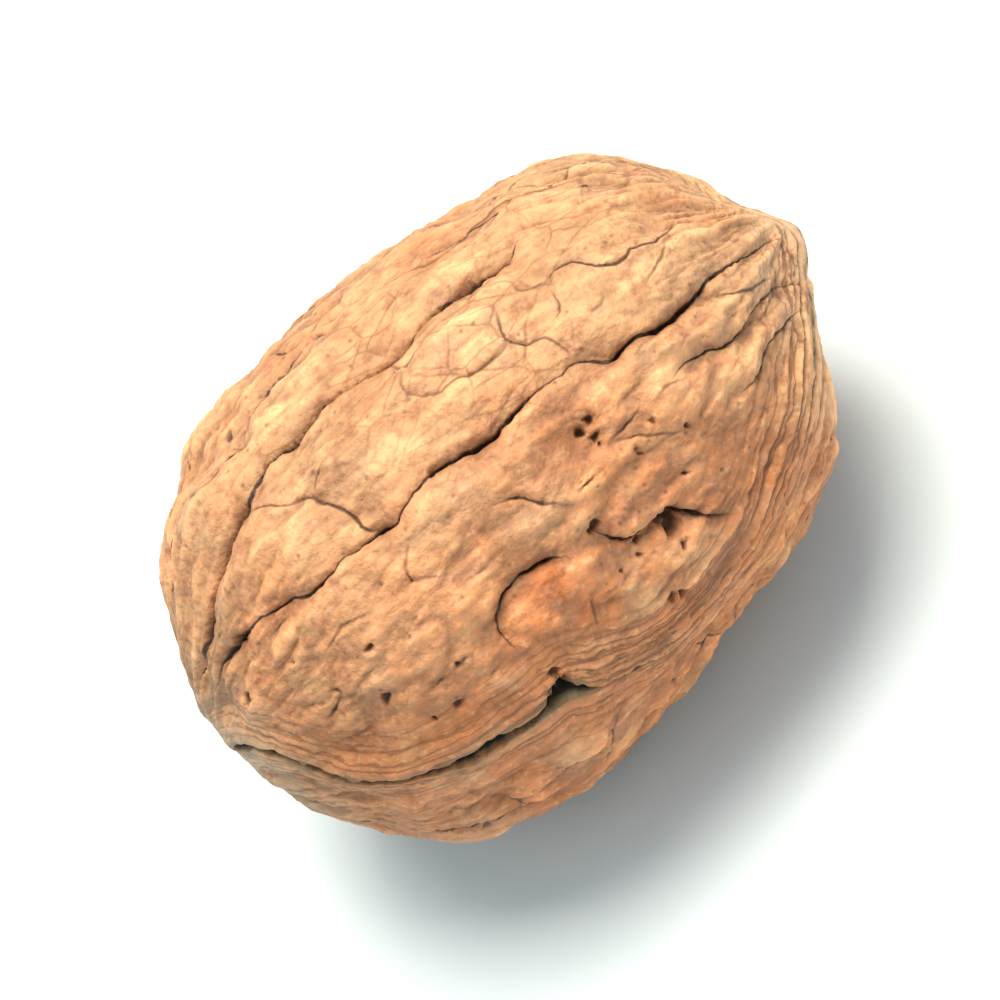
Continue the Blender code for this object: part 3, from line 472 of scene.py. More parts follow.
# Places that the patterns are read from: for ribs a cylinder round the nut, so that they close in at both
# ends, for the net that cylinder's wall laid flat, and for streaks the distance to the seam and the side.
x, y, z = add(relief, "ShaderNodeSeparateXYZ", shaken).node.outputs
from_axis = add(relief, "ShaderNodeCombineXYZ", 0.0, y, z)
axis_distance = add(relief, "ShaderNodeVectorMath", from_axis, out="Value", operation="LENGTH")
outward = add(relief, "ShaderNodeVectorMath", from_axis, operation="NORMALIZE")
wall = add(relief, "ShaderNodeVectorMath", {0: outward, "Scale": NUT_WIDTH / 2}, operation="SCALE")
round_places = []
for stretch in ("Rib stretch", "Crinkle stretch"):
    along = add(relief, "ShaderNodeMath", x, given[stretch], operation="MULTIPLY")
    along = add(relief, "ShaderNodeCombineXYZ", along, 0.0, 0.0)
    round_places.append(add(relief, "ShaderNodeVectorMath", along, wall))
rib_place, crinkle_place = round_places
towards_viewer = add(relief, "ShaderNodeMath", y, -1.0, operation="MULTIPLY")
turn = add(relief, "ShaderNodeMath", towards_viewer, z, operation="ARCTAN2")
net_along = add(relief, "ShaderNodeMath", x, given["Net stretch"], operation="MULTIPLY")
net_round = add(relief, "ShaderNodeMath", turn, NUT_WIDTH / 2, operation="MULTIPLY")
net_place = add(relief, "ShaderNodeCombineXYZ", net_along, net_round, 0.0)
streak_along = add(relief, "ShaderNodeMath", x, given["Streak stretch"], operation="MULTIPLY")
streak_place = add(relief, "ShaderNodeCombineXYZ", streak_along, seam_side, seam_distance)

# Lumps, knobs, ribs, wrinkles, crinkles, streaks and grain: smooth noise, each at its own size. Some are
# folded at the noise's middle, which makes round ridges with sharp grooves between them.
FOLDED = ("Wrinkle", "Crinkle", "Streak")
FOLDED_MEAN = 0.09
waves = {}
for name, where, detail in (("Lump", position, 1.0), ("Knob", position, 2.0), ("Rib", rib_place, 1.0),
                            ("Wrinkle", rib_place, 2.0), ("Crinkle", crinkle_place, 3.0),
                            ("Streak", streak_place, 2.0), ("Grain", position, 3.0)):
    scale = add(relief, "ShaderNodeMath", 1.0, given[name + " size"], operation="DIVIDE")
    wave = add(relief, "ShaderNodeTexNoise", {"Vector": where, "Scale": scale, "Detail": detail})
    wave = add(relief, "ShaderNodeMath", wave, NOISE_MIDDLE, operation="SUBTRACT")
    if name in FOLDED:
        wave = add(relief, "ShaderNodeMath", wave, operation="ABSOLUTE")
        wave = add(relief, "ShaderNodeMath", wave, FOLDED_MEAN, operation="SUBTRACT")
    waves[name] = add(relief, "ShaderNodeMath", wave, given[name + " height"], operation="MULTIPLY")

# How strongly each shows. Knobs and crinkles keep to rough patches, of which the nearer side has more.
# Wrinkles crowd towards both ends but stop short of the very poles, and streaks take their place by the
# seam, most strongly towards the tip.
PATCH_SIZE = 9 * MM
ROUGHER_NEARER = (-4 * MM, -12 * MM, 0.0, 0.15)
KNOBS_IN_PATCHES = (0.4, 0.65, 0.1, 1.0)
CRINKLES_IN_PATCHES = (0.33, 0.58, 0.15, 1.0)
OFF_POLE = (0.8 * MM, 4 * MM, 0.0, 1.0)
TOWARDS_ENDS = (8 * MM, 15 * MM, 1.5, 0.5)
NEAR_SEAM = (1 * MM, 5.5 * MM, 1.0, 0.0)
TIPWARD = (-10 * MM, 2 * MM, 0.3, 1.0)
WRINKLES_LOST_AT_SEAM = -0.8
patches = add(relief, "ShaderNodeTexNoise", {"Vector": position, "Scale": 1 / PATCH_SIZE})
along, across, _ = add(relief, "ShaderNodeSeparateXYZ", position).node.outputs
nearer = add(relief, "ShaderNodeMapRange", across, *ROUGHER_NEARER)
patches = add(relief, "ShaderNodeMath", patches, nearer, operation="ADD")
knob_share = add(relief, "ShaderNodeMapRange", patches, *KNOBS_IN_PATCHES)
off_pole = add(relief, "ShaderNodeMapRange", axis_distance, *OFF_POLE)
towards_ends = add(relief, "ShaderNodeMapRange", axis_distance, *TOWARDS_ENDS)
wrinkle_share = add(relief, "ShaderNodeMath", off_pole, towards_ends, operation="MULTIPLY")
near_seam = add(relief, "ShaderNodeMapRange", seam_distance, *NEAR_SEAM, **EASED)
tipward = add(relief, "ShaderNodeMapRange", along, *TIPWARD)
streak_share = add(relief, "ShaderNodeMath", near_seam, off_pole, operation="MULTIPLY")
streak_share = add(relief, "ShaderNodeMath", streak_share, tipward, operation="MULTIPLY")
away = add(relief, "ShaderNodeMath", near_seam, WRINKLES_LOST_AT_SEAM, 1.0, operation="MULTIPLY_ADD")
wrinkle_share = add(relief, "ShaderNodeMath", wrinkle_share, away, operation="MULTIPLY")

# Furrows, each a slit with shoulders in a wide valley. One side rides a little over the other.
SLIT_WIDENING, LEAST_SLIT = 0.55, 0.45
RIDES_WITHIN = 0.35 * MM
RIDES_SIZE = 9 * MM
RIDES = (0.3, 0.7, -0.4, 1.4)
slit_share = add(relief, "ShaderNodeMath", furrow_share, SLIT_WIDENING, LEAST_SLIT,
                 operation="MULTIPLY_ADD")
slit_reach = add(relief, "ShaderNodeMath", given["Furrow slit reach"], slit_share, operation="MULTIPLY")
furrow_cut = add(relief, "ShaderNodeMapRange", furrow_distance, 0.0, slit_reach,
                 given["Furrow slit depth"], 0.0, **EASED)
for name in ("Furrow shoulder", "Valley"):
    hollow = add(relief, "ShaderNodeMapRange", furrow_distance, 0.0, given[name + " reach"],
                 given[name + " depth"], 0.0, **EASED)
    furrow_cut = add(relief, "ShaderNodeMath", furrow_cut, hollow, operation="ADD")
furrow_cut = add(relief, "ShaderNodeMath", furrow_cut, furrow_share, operation="MULTIPLY")
ridden = add(relief, "ShaderNodeMapRange", furrow_side, -RIDES_WITHIN, RIDES_WITHIN, -1.0, 1.0, **EASED)
which_rides = add(relief, "ShaderNodeTexNoise", {"Vector": position, "Scale": 1 / RIDES_SIZE, "Detail": 0.0})
which_rides = add(relief, "ShaderNodeMapRange", which_rides, *RIDES)
over = add(relief, "ShaderNodeMapRange", furrow_distance, 0.0, given["Overlap reach"],
           given["Overlap height"], 0.0, **EASED)
for share in (ridden, which_rides, furrow_share):
    over = add(relief, "ShaderNodeMath", over, share, operation="MULTIPLY")

# Creases and the net's veins, fine and shallow. Creases stop short of the seam.
off_lips = add(relief, "ShaderNodeMath", near_seam, -1.0, 1.0, operation="MULTIPLY_ADD")
crease_share = add(relief, "ShaderNodeMath", crease_share, off_lips, operation="MULTIPLY")
crease_cut = add(relief, "ShaderNodeMapRange", crease_distance, 0.0, given["Crease reach"],
                 given["Crease depth"], 0.0, **EASED)
hollow = add(relief, "ShaderNodeMapRange", crease_distance, 0.0, given["Crease shoulder reach"],
             given["Crease shoulder depth"], 0.0, **EASED)
crease_cut = add(relief, "ShaderNodeMath", crease_cut, hollow, operation="ADD")
crease_cut = add(relief, "ShaderNodeMath", crease_cut, crease_share, operation="MULTIPLY")
net_scale = add(relief, "ShaderNodeMath", 1.0, given["Net cell"], operation="DIVIDE")
net = add(relief, "ShaderNodeTexVoronoi", {"Vector": net_place, "Scale": net_scale},
          feature="DISTANCE_TO_EDGE", voronoi_dimensions="2D")
# The net fades out underneath, where the wall laid flat has its ends. Its widths are shares of a cell.
NET_FADE = (math.radians(158), math.radians(172), 1.0, 0.0)
NET_LINE_WIDTH, NET_HOLLOW_WIDTH = 0.05, 0.3
from_top = add(relief, "ShaderNodeMath", turn, operation="ABSOLUTE")
net_share = add(relief, "ShaderNodeMapRange", from_top, *NET_FADE)
net_share = add(relief, "ShaderNodeMath", net_share, off_pole, operation="MULTIPLY")
net_cut = add(relief, "ShaderNodeMapRange", net, 0.0, NET_LINE_WIDTH, given["Net depth"], 0.0)
net_hollow = add(relief, "ShaderNodeMapRange", net, 0.0, NET_HOLLOW_WIDTH, given["Net depth"], 0.0, **EASED)
net_cut = add(relief, "ShaderNodeMath", net_cut, net_hollow, operation="ADD")
net_cut = add(relief, "ShaderNodeMath", net_cut, net_share, operation="MULTIPLY")

# All of these together, weaker on the seam's smooth lips.
LEFT_ON_LIPS = 0.25
raised = add(relief, "ShaderNodeMath", waves["Lump"], over, operation="ADD")
raised = add(relief, "ShaderNodeMath", waves["Knob"], knob_share, raised, operation="MULTIPLY_ADD")
raised = add(relief, "ShaderNodeMath", waves["Rib"], off_pole, raised, operation="MULTIPLY_ADD")
body = raised
for cut in (furrow_cut, crease_cut, net_cut):
    body = add(relief, "ShaderNodeMath", body, cut, operation="SUBTRACT")
off_seam = add(relief, "ShaderNodeMapRange", seam_distance, 0.0, given["Seam reach"], LEFT_ON_LIPS, 1.0,
               **EASED)
body = add(relief, "ShaderNodeMath", body, off_seam, operation="MULTIPLY")

# The lips of the seam, one a little higher than the other, and the crack between them, which all but
# closes at both poles.
LIP_STEP_WITHIN, LIP_STEP = 0.3 * MM, 0.1 * MM
CLOSING = (0.6 * MM, 4.5 * MM, 0.1, 1.0)
FULL_GAPE = 1.0
lips = add(relief, "ShaderNodeMapRange", seam_distance, 0.0, given["Seam reach"],
           given["Seam lift"], 0.0, **EASED)
body = add(relief, "ShaderNodeMath", lips, rise, body, operation="MULTIPLY_ADD")
lip_step = add(relief, "ShaderNodeMapRange", seam_side, -LIP_STEP_WITHIN, LIP_STEP_WITHIN,
               -LIP_STEP, LIP_STEP)
body = add(relief, "ShaderNodeMath", lip_step, near_seam, body, operation="MULTIPLY_ADD")
closing = add(relief, "ShaderNodeMapRange", axis_distance, *CLOSING)
crack_reach = add(relief, "ShaderNodeMath", crack_reach, closing, operation="MULTIPLY")
crack_cut = add(relief, "ShaderNodeMapRange", crack_distance, 0.0, crack_reach,
                given["Crack depth"], 0.0, **EASED)
crack_share = add(relief, "ShaderNodeMath", gape, FULL_GAPE, operation="MINIMUM")
crack_share = add(relief, "ShaderNodeMath", crack_share, closing, operation="MULTIPLY")
crack_cut = add(relief, "ShaderNodeMath", crack_cut, crack_share, operation="MULTIPLY")
body = add(relief, "ShaderNodeMath", body, crack_cut, operation="SUBTRACT")

# The knoll, the pits, whose walls rise over these shares of their reach, and what runs over everything.
PIT_FLOOR, PIT_BRIM = 0.3, 0.9
from_knoll = add(relief, "ShaderNodeVectorMath", position, KNOLL, out="Value", operation="DISTANCE")
knoll = add(relief, "ShaderNodeMapRange", from_knoll, 0.0, given["Knoll reach"], 1.0, 0.0, **EASED)
body = add(relief, "ShaderNodeMath", knoll, given["Knoll height"], body, operation="MULTIPLY_ADD")
pit_cut = add(relief, "ShaderNodeMapRange", in_pit, PIT_FLOOR, PIT_BRIM, pit_depth, 0.0, **EASED)
body = add(relief, "ShaderNodeMath", body, pit_cut, operation="SUBTRACT")
crinkle_share = add(relief, "ShaderNodeMapRange", patches, *CRINKLES_IN_PATCHES)
crinkle_share = add(relief, "ShaderNodeMath", crinkle_share, off_pole, operation="MULTIPLY")
crinkle_share = add(relief, "ShaderNodeMath", crinkle_share, away, operation="MULTIPLY")
fine = waves["Grain"]
for name, share in (("Wrinkle", wrinkle_share), ("Crinkle", crinkle_share), ("Streak", streak_share)):
    fine = add(relief, "ShaderNodeMath", waves[name], share, fine, operation="MULTIPLY_ADD")
body = add(relief, "ShaderNodeMath", body, fine, operation="ADD")

# Round the flat spot that the nut rests on, the relief fades out.
FLAT_CENTRE = (-3.8 * MM, 0, -NUT_HEIGHT / 2)
FLAT_BARE = (0.0, 9 * MM, -0.4, 1.0)
from_flat = add(relief, "ShaderNodeVectorMath", position, FLAT_CENTRE, out="Value", operation="DISTANCE")
bare = add(relief, "ShaderNodeMapRange", from_flat, *FLAT_BARE, **EASED)
bare = add(relief, "ShaderNodeMath", bare, 0.0, operation="MAXIMUM")
height = add(relief, "ShaderNodeMath", body, bare, operation="MULTIPLY")
offset = add(relief, "ShaderNodeVectorMath", {0: normal, "Scale": height}, operation="SCALE")

# The marks that the finish reads, three to an attribute.
shell_shape = given["Shell"]
MARKS = {
    "furrow_line": add(relief, "ShaderNodeCombineXYZ", furrow_distance, furrow_side, furrow_share),
    "crease_line": add(relief, "ShaderNodeCombineXYZ", crease_distance, crease_side, crease_share),
    "crack_line": add(relief, "ShaderNodeCombineXYZ", crack_distance, seam_side, crack_reach),
    "streak_place": streak_place,
    "net_place": net_place,
    "ground": add(relief, "ShaderNodeCombineXYZ", raised, fine, net_share),
    "spots": add(relief, "ShaderNodeCombineXYZ", in_pit, knoll, 0.0),
}
for name, mark in MARKS.items():
    shell_shape = add(relief, "GeometryNodeStoreNamedAttribute",
                      {"Geometry": shell_shape, "Name": name, "Value": mark},
                      data_type="FLOAT_VECTOR", domain="POINT")
moved = add(relief, "GeometryNodeSetPosition", {"Geometry": shell_shape, "Offset": offset})

# The flat spot: nothing reaches below the surface that the nut rests on.
FLAT_DEPTH = 0.45 * MM
here = add(relief, "GeometryNodeInputPosition")
x, y, z = add(relief, "ShaderNodeSeparateXYZ", here).node.outputs
rested_z = add(relief, "ShaderNodeMath", z, -NUT_HEIGHT / 2 + FLAT_DEPTH, operation="MAXIMUM")
rested = add(relief, "ShaderNodeCombineXYZ", x, y, rested_z)
shaped = add(relief, "GeometryNodeSetPosition", {"Geometry": moved, "Position": rested})
real = add(relief, "GeometryNodeRealizeInstances", {"Geometry": shaped})
dressed = add(relief, "GeometryNodeSetMaterial", {"Geometry": real, "Material": given["Finish"]})
relief.links.new(dressed, relief.nodes.new("NodeGroupOutput").inputs[0])


# The finish: dry, unvarnished walnut shell. Tan, hard and faintly waxy on its high places, duller in the
# hollows, with orange-brown blotches and fine fibres along the nut. Painted shade browns the hollows and
# darkens every slit, and painted highlight pales the high places.
FIBRE_STRETCH = 0.14
LINE_ENDS = (0.3 * MM, 0.5 * MM, 1.0, 0.0)


def linear(hex_colour):
    """A linear colour from sRGB hex."""
    parts = [int(hex_colour[i:i + 2], 16) / 255 for i in (1, 3, 5)]
    return (*(p / 12.92 if p <= 0.04045 else ((p + 0.055) / 1.055) ** 2.4 for p in parts), 1)


SHELL_TAN = "#D69867"
SHELL_PALE = "#E8B685"
SHELL_PINK = "#C5815E"
SHELL_ORANGE = "#C26F39"
SHELL_RUST = "#D87A3E"
SHELL_BROWN = "#8A5531"
SLIT_BROWN = "#3E2617"
CREASE_BROWN = "#5A3820"
VEIN_BROWN = "#96603C"
PIT_DARK = "#33221A"
CRACK_DARK = "#2B271B"
HUSK_GREEN = "#7A6C4E"
SCAR_GREY = "#B39B80"

shell_finish = bpy.data.materials.new("dry_walnut_shell")
shell_finish.use_nodes = True
tree = shell_finish.node_tree
surface = tree.nodes["Principled BSDF"]
surface.inputs["Metallic"].default_value = 0.0
surface.inputs["IOR"].default_value = 1.5
coordinates = add(tree, "ShaderNodeTexCoord", out="Object")
marks = {}
for name in MARKS:
    carried = add(tree, "ShaderNodeAttribute", out="Vector", attribute_name=name)
    marks[name] = (carried, *add(tree, "ShaderNodeSeparateXYZ", carried).node.outputs)
_, raised, fine, net_share = marks["ground"]
_, in_pit, knoll, _ = marks["spots"]
streak_place, _, _, seam_distance = marks["streak_place"]
net_place = marks["net_place"][0]
along_nut = add(tree, "ShaderNodeMapping", {"Vector": coordinates, "Scale": (FIBRE_STRETCH, 1, 1)})
x, y, z = add(tree, "ShaderNodeSeparateXYZ", coordinates).node.outputs


def line_mark(name, reach):
    """1 on a line and 0 past its reach, from the distance and the side that the mesh carries."""
    _, distance, side, _ = marks[name]
    off_line = add(tree, "ShaderNodeMath", side, operation="ABSOLUTE")
    sharp = add(tree, "ShaderNodeMapRange", off_line, 0.0, reach, 1.0, 0.0, **EASED)
    near = add(tree, "ShaderNodeMapRange", distance, *LINE_ENDS)
    return add(tree, "ShaderNodeMath", sharp, near, operation="MULTIPLY")


# Each layer is the share in which a colour lies over those before it.
layers = []

# Paler on top and towards the tip, a painted highlight where the light falls; warmer and darker down its
# nearer side, partly the shell's own tone and partly painted shade; and warmer on the knoll.
TOP_PAINTED_HIGHLIGHT = (16 * MM, 30 * MM, 0.0, 0.45)
NEARER_SIDE_TONE_AND_SHADE = (-5 * MM, -14 * MM, 0.0, 0.72)
TIP_PAINTED_HIGHLIGHT = (11 * MM, 19 * MM, 0.0, 0.6)
KNOLL_WARMTH = 1.8
for where, reach, tone in ((z, TOP_PAINTED_HIGHLIGHT, SHELL_PALE), (y, NEARER_SIDE_TONE_AND_SHADE, SHELL_ORANGE), (x, TIP_PAINTED_HIGHLIGHT, SHELL_PALE)):
    layers.append((add(tree, "ShaderNodeMapRange", where, *reach), tone))
warm_knoll = add(tree, "ShaderNodeMath", knoll, KNOLL_WARMTH, operation="MULTIPLY", use_clamp=True)
layers.append((warm_knoll, SHELL_RUST))

# Stains: where each is read from, its size and detail, the noise where it starts and is full, and its most.
for where, size, detail, start, full, most, tone in (
        (coordinates, 8 * MM, 3.0, 0.5, 0.72, 0.6, SHELL_ORANGE),
        (coordinates, 3.1 * MM, 3.0, 0.5, 0.68, 0.4, SHELL_PALE),
        (coordinates, 2.3 * MM, 4.0, 0.5, 0.7, 0.3, SHELL_BROWN),
        (coordinates, 1.2 * MM, 4.0, 0.5, 0.66, 0.45, SHELL_PINK),
        (coordinates, 0.6 * MM, 4.0, 0.5, 0.68, 0.35, SHELL_BROWN),
        (coordinates, 0.45 * MM, 3.0, 0.56, 0.7, 0.4, SHELL_PALE),
        (along_nut, 0.7 * MM, 3.0, 0.52, 0.72, 0.45, SHELL_BROWN)):
    stain = add(tree, "ShaderNodeTexNoise", {"Vector": where, "Scale": 1 / size, "Detail": detail})
    layers.append((add(tree, "ShaderNodeMapRange", stain, start, full, 0.0, most), tone))

# Painted highlight and shade: high places are painted paler, low ones browner.
HIGH_PAINTED_HIGHLIGHT = (0.1 * MM, 0.9 * MM, 0.0, 0.5)
LOW_PAINTED_SHADE = (-0.1 * MM, -1.0 * MM, 0.0, 0.5)
for reach, tone in ((HIGH_PAINTED_HIGHLIGHT, SHELL_PALE), (LOW_PAINTED_SHADE, SHELL_BROWN)):
    layers.append((add(tree, "ShaderNodeMapRange", raised, *reach), tone))

# Specks, the mouths of pores 0.1 to 0.4 mm across. Their rims are shares of the space between them.
SPECK_SPACE = 1.3 * MM
SPECK_RIM = (0.05, 0.15, 0.5, 0.0)
speck = add(tree, "ShaderNodeTexVoronoi", {"Vector": coordinates, "Scale": 1 / SPECK_SPACE})
layers.append((add(tree, "ShaderNodeMapRange", speck, *SPECK_RIM), SLIT_BROWN))

# The net of old veins, hair lines with finer ones between them. It is clear in patches, and more so above
# and towards the tip. Each kind of vein has its cell, as a share of the net's, and its width.
CLEAR_SIZE = 5 * MM
CLEAR_PATCHES = (0.42, 0.62, 0.05, 0.7)
CLEAR_ABOVE = (-11 * MM, -5 * MM, 0.2, 1.0)
CLEAR_TIPWARD = (-7 * MM, 0.0, 0.15, 1.0)
VEINS = ((1, 0.13 * MM), (0.45, 0.1 * MM))
clear = add(tree, "ShaderNodeTexNoise", {"Vector": coordinates, "Scale": 1 / CLEAR_SIZE})
clear = add(tree, "ShaderNodeMapRange", clear, *CLEAR_PATCHES)
upper = add(tree, "ShaderNodeMapRange", y, *CLEAR_ABOVE)
tipward = add(tree, "ShaderNodeMapRange", x, *CLEAR_TIPWARD)
for share in (net_share, upper, tipward):
    clear = add(tree, "ShaderNodeMath", clear, share, operation="MULTIPLY")
for cell_share, width in VEINS:
    cell = cell_share * RELIEF_SIZES["Net cell"]
    vein = add(tree, "ShaderNodeTexVoronoi", {"Vector": net_place, "Scale": 1 / cell},
               feature="DISTANCE_TO_EDGE", voronoi_dimensions="2D")
    vein = add(tree, "ShaderNodeMapRange", vein, 0.0, width / cell, 1.0, 0.0)
    layers.append((add(tree, "ShaderNodeMath", vein, clear, operation="MULTIPLY"), VEIN_BROWN))

# Along the seam, painted shade browns the grooves between the fibres, with green-grey shreds of husk by the
# crack.
SEAM_BROWN = (1.5 * MM, 5.5 * MM, 1.0, 0.0)
GROOVE_PAINTED_SHADE = (0.0, 0.05, 0.95, 0.0)
OPEN_CRACK = (0.06 * MM, 0.2 * MM, 0.0, 0.9)
HUSK_WIDTH, LEAST_HUSK = 2.2, 0.15 * MM
SHRED_SIZE = 0.9 * MM
SHREDS = (0.4, 0.55, 0.1, 1.0)
near_seam = add(tree, "ShaderNodeMapRange", seam_distance, *SEAM_BROWN)
groove = add(tree, "ShaderNodeTexNoise",
             {"Vector": streak_place, "Scale": 1 / RELIEF_SIZES["Streak size"], "Detail": 2.0})
groove = add(tree, "ShaderNodeMath", groove, NOISE_MIDDLE, operation="SUBTRACT")
groove = add(tree, "ShaderNodeMath", groove, operation="ABSOLUTE")
groove = add(tree, "ShaderNodeMapRange", groove, *GROOVE_PAINTED_SHADE)
layers.append((add(tree, "ShaderNodeMath", groove, near_seam, operation="MULTIPLY"), SHELL_BROWN))
_, crack_distance, _, crack_reach = marks["crack_line"]
open_crack = add(tree, "ShaderNodeMapRange", crack_reach, *OPEN_CRACK)
husk_reach = add(tree, "ShaderNodeMath", crack_reach, HUSK_WIDTH, LEAST_HUSK, operation="MULTIPLY_ADD")
husk = add(tree, "ShaderNodeMapRange", crack_distance, crack_reach, husk_reach, 1.0, 0.0)
shreds = add(tree, "ShaderNodeTexNoise", {"Vector": streak_place, "Scale": 1 / SHRED_SIZE, "Detail": 4.0})
shreds = add(tree, "ShaderNodeMapRange", shreds, *SHREDS)
for share in (open_crack, shreds):
    husk = add(tree, "ShaderNodeMath", husk, share, operation="MULTIPLY")
layers.append((husk, HUSK_GREEN))

# The scar of the stalk, pale and grey, where the nut hung.
SCAR = (-18.4 * MM, -21.2 * MM, 0.0, 0.65)
SCAR_SIZE = 1.5 * MM
SCAR_PATCHES = (0.38, 0.58, 0.3, 1.0)
scar = add(tree, "ShaderNodeMapRange", x, *SCAR)
scar_patches = add(tree, "ShaderNodeTexNoise", {"Vector": coordinates, "Scale": 1 / SCAR_SIZE, "Detail": 4.0})
scar_patches = add(tree, "ShaderNodeMapRange", scar_patches, *SCAR_PATCHES)
layers.append((add(tree, "ShaderNodeMath", scar, scar_patches, operation="MULTIPLY"), SCAR_GREY))

# Painted shade in the lines: a soft halo of brown and a dark slit in each furrow, dark creases, and darkness
# in the pits and in the seam's crack.
HALO = (0.0, 0.8 * MM, 0.55, 0.0)
CREASE_WIDTH, CREASE_DARKNESS = 0.17 * MM, 1.3
SLIT_WIDTH, LEAST_SLIT_WIDTH = 0.14 * MM, 0.05 * MM
SLIT_DARKNESS = (0.1, 0.9, 0.2, 2.0)
PIT_PAINTED_SHADE = (0.35, 0.68, 0.9, 0.0)
CRACK_DARKNESS = 2.0
_, furrow_distance, _, furrow_share = marks["furrow_line"]
halo = add(tree, "ShaderNodeMapRange", furrow_distance, *HALO)
halo = add(tree, "ShaderNodeMath", halo, furrow_share, operation="MULTIPLY", use_clamp=True)
layers.append((halo, SHELL_BROWN))
crease_share = marks["crease_line"][3]
crease = line_mark("crease_line", CREASE_WIDTH)
crease = add(tree, "ShaderNodeMath", crease, crease_share, operation="MULTIPLY")
crease = add(tree, "ShaderNodeMath", crease, CREASE_DARKNESS, operation="MULTIPLY", use_clamp=True)
layers.append((crease, CREASE_BROWN))
slit_width = add(tree, "ShaderNodeMath", furrow_share, SLIT_WIDTH, LEAST_SLIT_WIDTH,
                 operation="MULTIPLY_ADD")
darkness = add(tree, "ShaderNodeMapRange", furrow_share, *SLIT_DARKNESS)
slit = add(tree, "ShaderNodeMath", line_mark("furrow_line", slit_width), darkness, operation="MULTIPLY",
           use_clamp=True)
layers.append((slit, SLIT_BROWN))
layers.append((add(tree, "ShaderNodeMapRange", in_pit, *PIT_PAINTED_SHADE), PIT_DARK))
crack = line_mark("crack_line", crack_reach)
crack = add(tree, "ShaderNodeMath", crack, CRACK_DARKNESS, operation="MULTIPLY", use_clamp=True)
layers.append((crack, CRACK_DARK))

colour = linear(SHELL_TAN)
for share, tone in layers:
    colour = add(tree, "ShaderNodeMix", {0: share, 6: colour, 7: linear(tone)}, out=2, data_type="RGBA")

# Painted shade and highlight: the colour is darkened in the fine grooves and lightened on the ridges beside
# them.
FINE_PAINTED_LIGHT = (-0.14 * MM, 0.16 * MM, 0.68, 1.38)
fine_painted_light = add(tree, "ShaderNodeMapRange", fine, *FINE_PAINTED_LIGHT)
colour = add(tree, "ShaderNodeVectorMath", {0: colour, "Scale": fine_painted_light}, operation="SCALE")
tree.links.new(colour, surface.inputs["Base Color"])

# High places are rubbed smoother, which gives them their dull sheen, and fine pores break it everywhere.
ROUGHNESS = (-0.6 * MM, 0.9 * MM, 0.74, 0.5)
PORE_SIZE = 0.5 * MM
PORE_STRENGTH, PORE_DEPTH = 0.9, 0.24 * MM
roughness = add(tree, "ShaderNodeMapRange", raised, *ROUGHNESS)
tree.links.new(roughness, surface.inputs["Roughness"])
pores = add(tree, "ShaderNodeTexNoise", {"Vector": coordinates, "Scale": 1 / PORE_SIZE, "Detail": 4.0})
bump = add(tree, "ShaderNodeBump", {"Strength": PORE_STRENGTH, "Distance": PORE_DEPTH, "Height": pores})
tree.links.new(bump, surface.inputs["Normal"])

# The shell itself, in one piece, fine enough that each slit has its own faces.
SHELL_NODE = "walnut_shell"
ICOSAHEDRON_FACES = 20
DIVISIONS = 9
MOST_TRIANGLES = 196000

shaping = bmesh.new()
bmesh.ops.create_icosphere(shaping, subdivisions=DIVISIONS, radius=1)
form = bpy.data.meshes.new("shell_form")
shaping.to_mesh(form)
shaping.free()
points = np.empty(len(form.vertices) * 3)
form.vertices.foreach_get("co", points)
form.vertices.foreach_set("co", on_form(points.reshape(-1, 3)).ravel())
blank = bpy.data.objects.new("shell_form", form)
bpy.context.scene.collection.objects.link(blank)
shaper = blank.modifiers.new("relief", "NODES")
shaper.node_group = relief
sockets = {s.name: s.identifier for s in relief.interface.items_tree if s.in_out == "INPUT"}
for name, value in {**guides, **RELIEF_SIZES, "Finish": shell_finish}.items():
    shaper[sockets[name]] = value
thinned = blank.modifiers.new("thinned", "DECIMATE")
thinned.ratio = MOST_TRIANGLES / (ICOSAHEDRON_FACES * 4 ** (DIVISIONS - 1))

shell_mesh = bpy.data.meshes.new_from_object(blank.evaluated_get(bpy.context.evaluated_depsgraph_get()))
shell_mesh.name = "shell"
shell_mesh.shade_smooth()
points = np.empty(len(shell_mesh.vertices) * 3)
shell_mesh.vertices.foreach_get("co", points)
points = points.reshape(-1, 3)
own_middle = (points.min(axis=0) + points.max(axis=0)) / 2
cad_low, cad_high = (Vector(corner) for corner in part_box(SHELL_NODE))
cad_middle = (cad_low + cad_high) / 2
to_place = Vector((cad_middle.x - own_middle[0], cad_middle.y - own_middle[1], NUT_HEIGHT / 2 - FLAT_DEPTH))
shell_mesh.transform(Matrix.Translation(to_place))
for helper in (blank, *guides.values()):
    bpy.data.objects.remove(helper)
shell = bpy.data.objects.new("shell", shell_mesh)
bpy.context.scene.collection.objects.link(shell)
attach(shell, "root")
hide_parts(SHELL_NODE)

# The surface that the nut lies on: a plain white sweep of card, level and matt.
FLOOR_SIDE = 4.0
CARD_WHITE = "#E4EFF2"
CARD_ROUGHNESS = 0.9
card = bpy.data.materials.new("white_card")
card.use_nodes = True
card_surface = card.node_tree.nodes["Principled BSDF"]
card_surface.inputs["Base Color"].default_value = linear(CARD_WHITE)
card_surface.inputs["Roughness"].default_value = CARD_ROUGHNESS
bpy.ops.mesh.primitive_plane_add(size=FLOOR_SIDE)
floor = bpy.context.object
floor.name = "floor"
floor.data.materials.append(card)

# The camera looks down on the nut along the photograph's own line: square to the long axis, with the tip a
# little nearer, the seam low on the right, and turned so that the nut points up to the right.
CAMERA_HEIGHT_ANGLE = math.radians(50)
TIP_NEARER_ANGLE = math.radians(6.2)
NUT_SLANT = math.radians(44.6)
CAMERA_DISTANCE = 0.9
LENS = 576
NEAREST_SEEN = 0.01
AIM = Vector((-1.05 * MM, -0.05 * MM, 14.75 * MM))

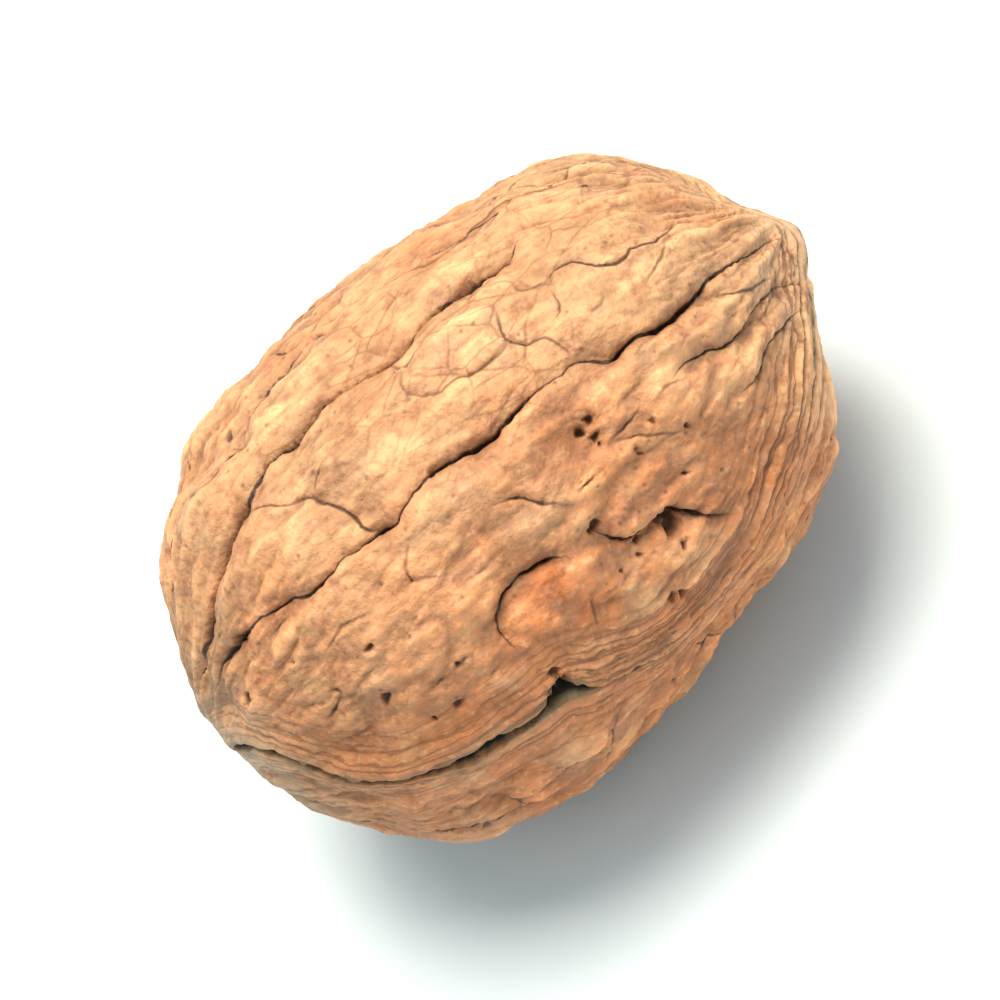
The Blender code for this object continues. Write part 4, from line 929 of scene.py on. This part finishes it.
back = Vector((math.cos(CAMERA_HEIGHT_ANGLE) * math.sin(TIP_NEARER_ANGLE),
               -math.cos(CAMERA_HEIGHT_ANGLE) * math.cos(TIP_NEARER_ANGLE), math.sin(CAMERA_HEIGHT_ANGLE)))
long_axis = Vector((1, 0, 0))
nut_in_view = (long_axis - long_axis.dot(back) * back).normalized()
across_nut = back.cross(nut_in_view)
right = math.cos(NUT_SLANT) * nut_in_view - math.sin(NUT_SLANT) * across_nut
up = math.sin(NUT_SLANT) * nut_in_view + math.cos(NUT_SLANT) * across_nut
camera_data = bpy.data.cameras.new("camera")
camera_data.lens = LENS
camera_data.clip_start = NEAREST_SEEN
camera = bpy.data.objects.new("camera", camera_data)
turned = Matrix((right, up, back)).transposed().to_4x4()
camera.matrix_world = Matrix.Translation(AIM + CAMERA_DISTANCE * back) @ turned
bpy.context.scene.collection.objects.link(camera)
bpy.context.scene.camera = camera

# The light: one large soft box above the picture's top left, a weak one opposite, and a white room. Each
# box has its share to the right, up and back, its distance, its size, its power and its tint.
ROOM_WHITE = "#D2E8F2"
ROOM_STRENGTH = 0.7
for name, side_share, up_share, back_share, distance, size, power, tint in (
        ("key_light", -0.5, 0.7, 0.7, 0.6, 0.42, 6.3, "#FFF4E4"),
        ("fill_light", 0.8, -0.3, 0.8, 0.8, 0.6, 1.3, "#FFF2E6")):
    lamp_data = bpy.data.lights.new(name, "AREA")
    lamp_data.size = size
    lamp_data.energy = power
    lamp_data.color = linear(tint)[:3]
    lamp = bpy.data.objects.new(name, lamp_data)
    towards = (side_share * right + up_share * up + back_share * back).normalized()
    lamp.location = AIM + distance * towards
    lamp.rotation_euler = towards.to_track_quat("Z", "Y").to_euler()
    bpy.context.scene.collection.objects.link(lamp)
room = bpy.data.worlds.new("white_room")
room.use_nodes = True
room.node_tree.nodes["Background"].inputs["Color"].default_value = linear(ROOM_WHITE)
room.node_tree.nodes["Background"].inputs["Strength"].default_value = ROOM_STRENGTH
bpy.context.scene.world = room
bpy.context.scene.view_settings.view_transform = "Standard"
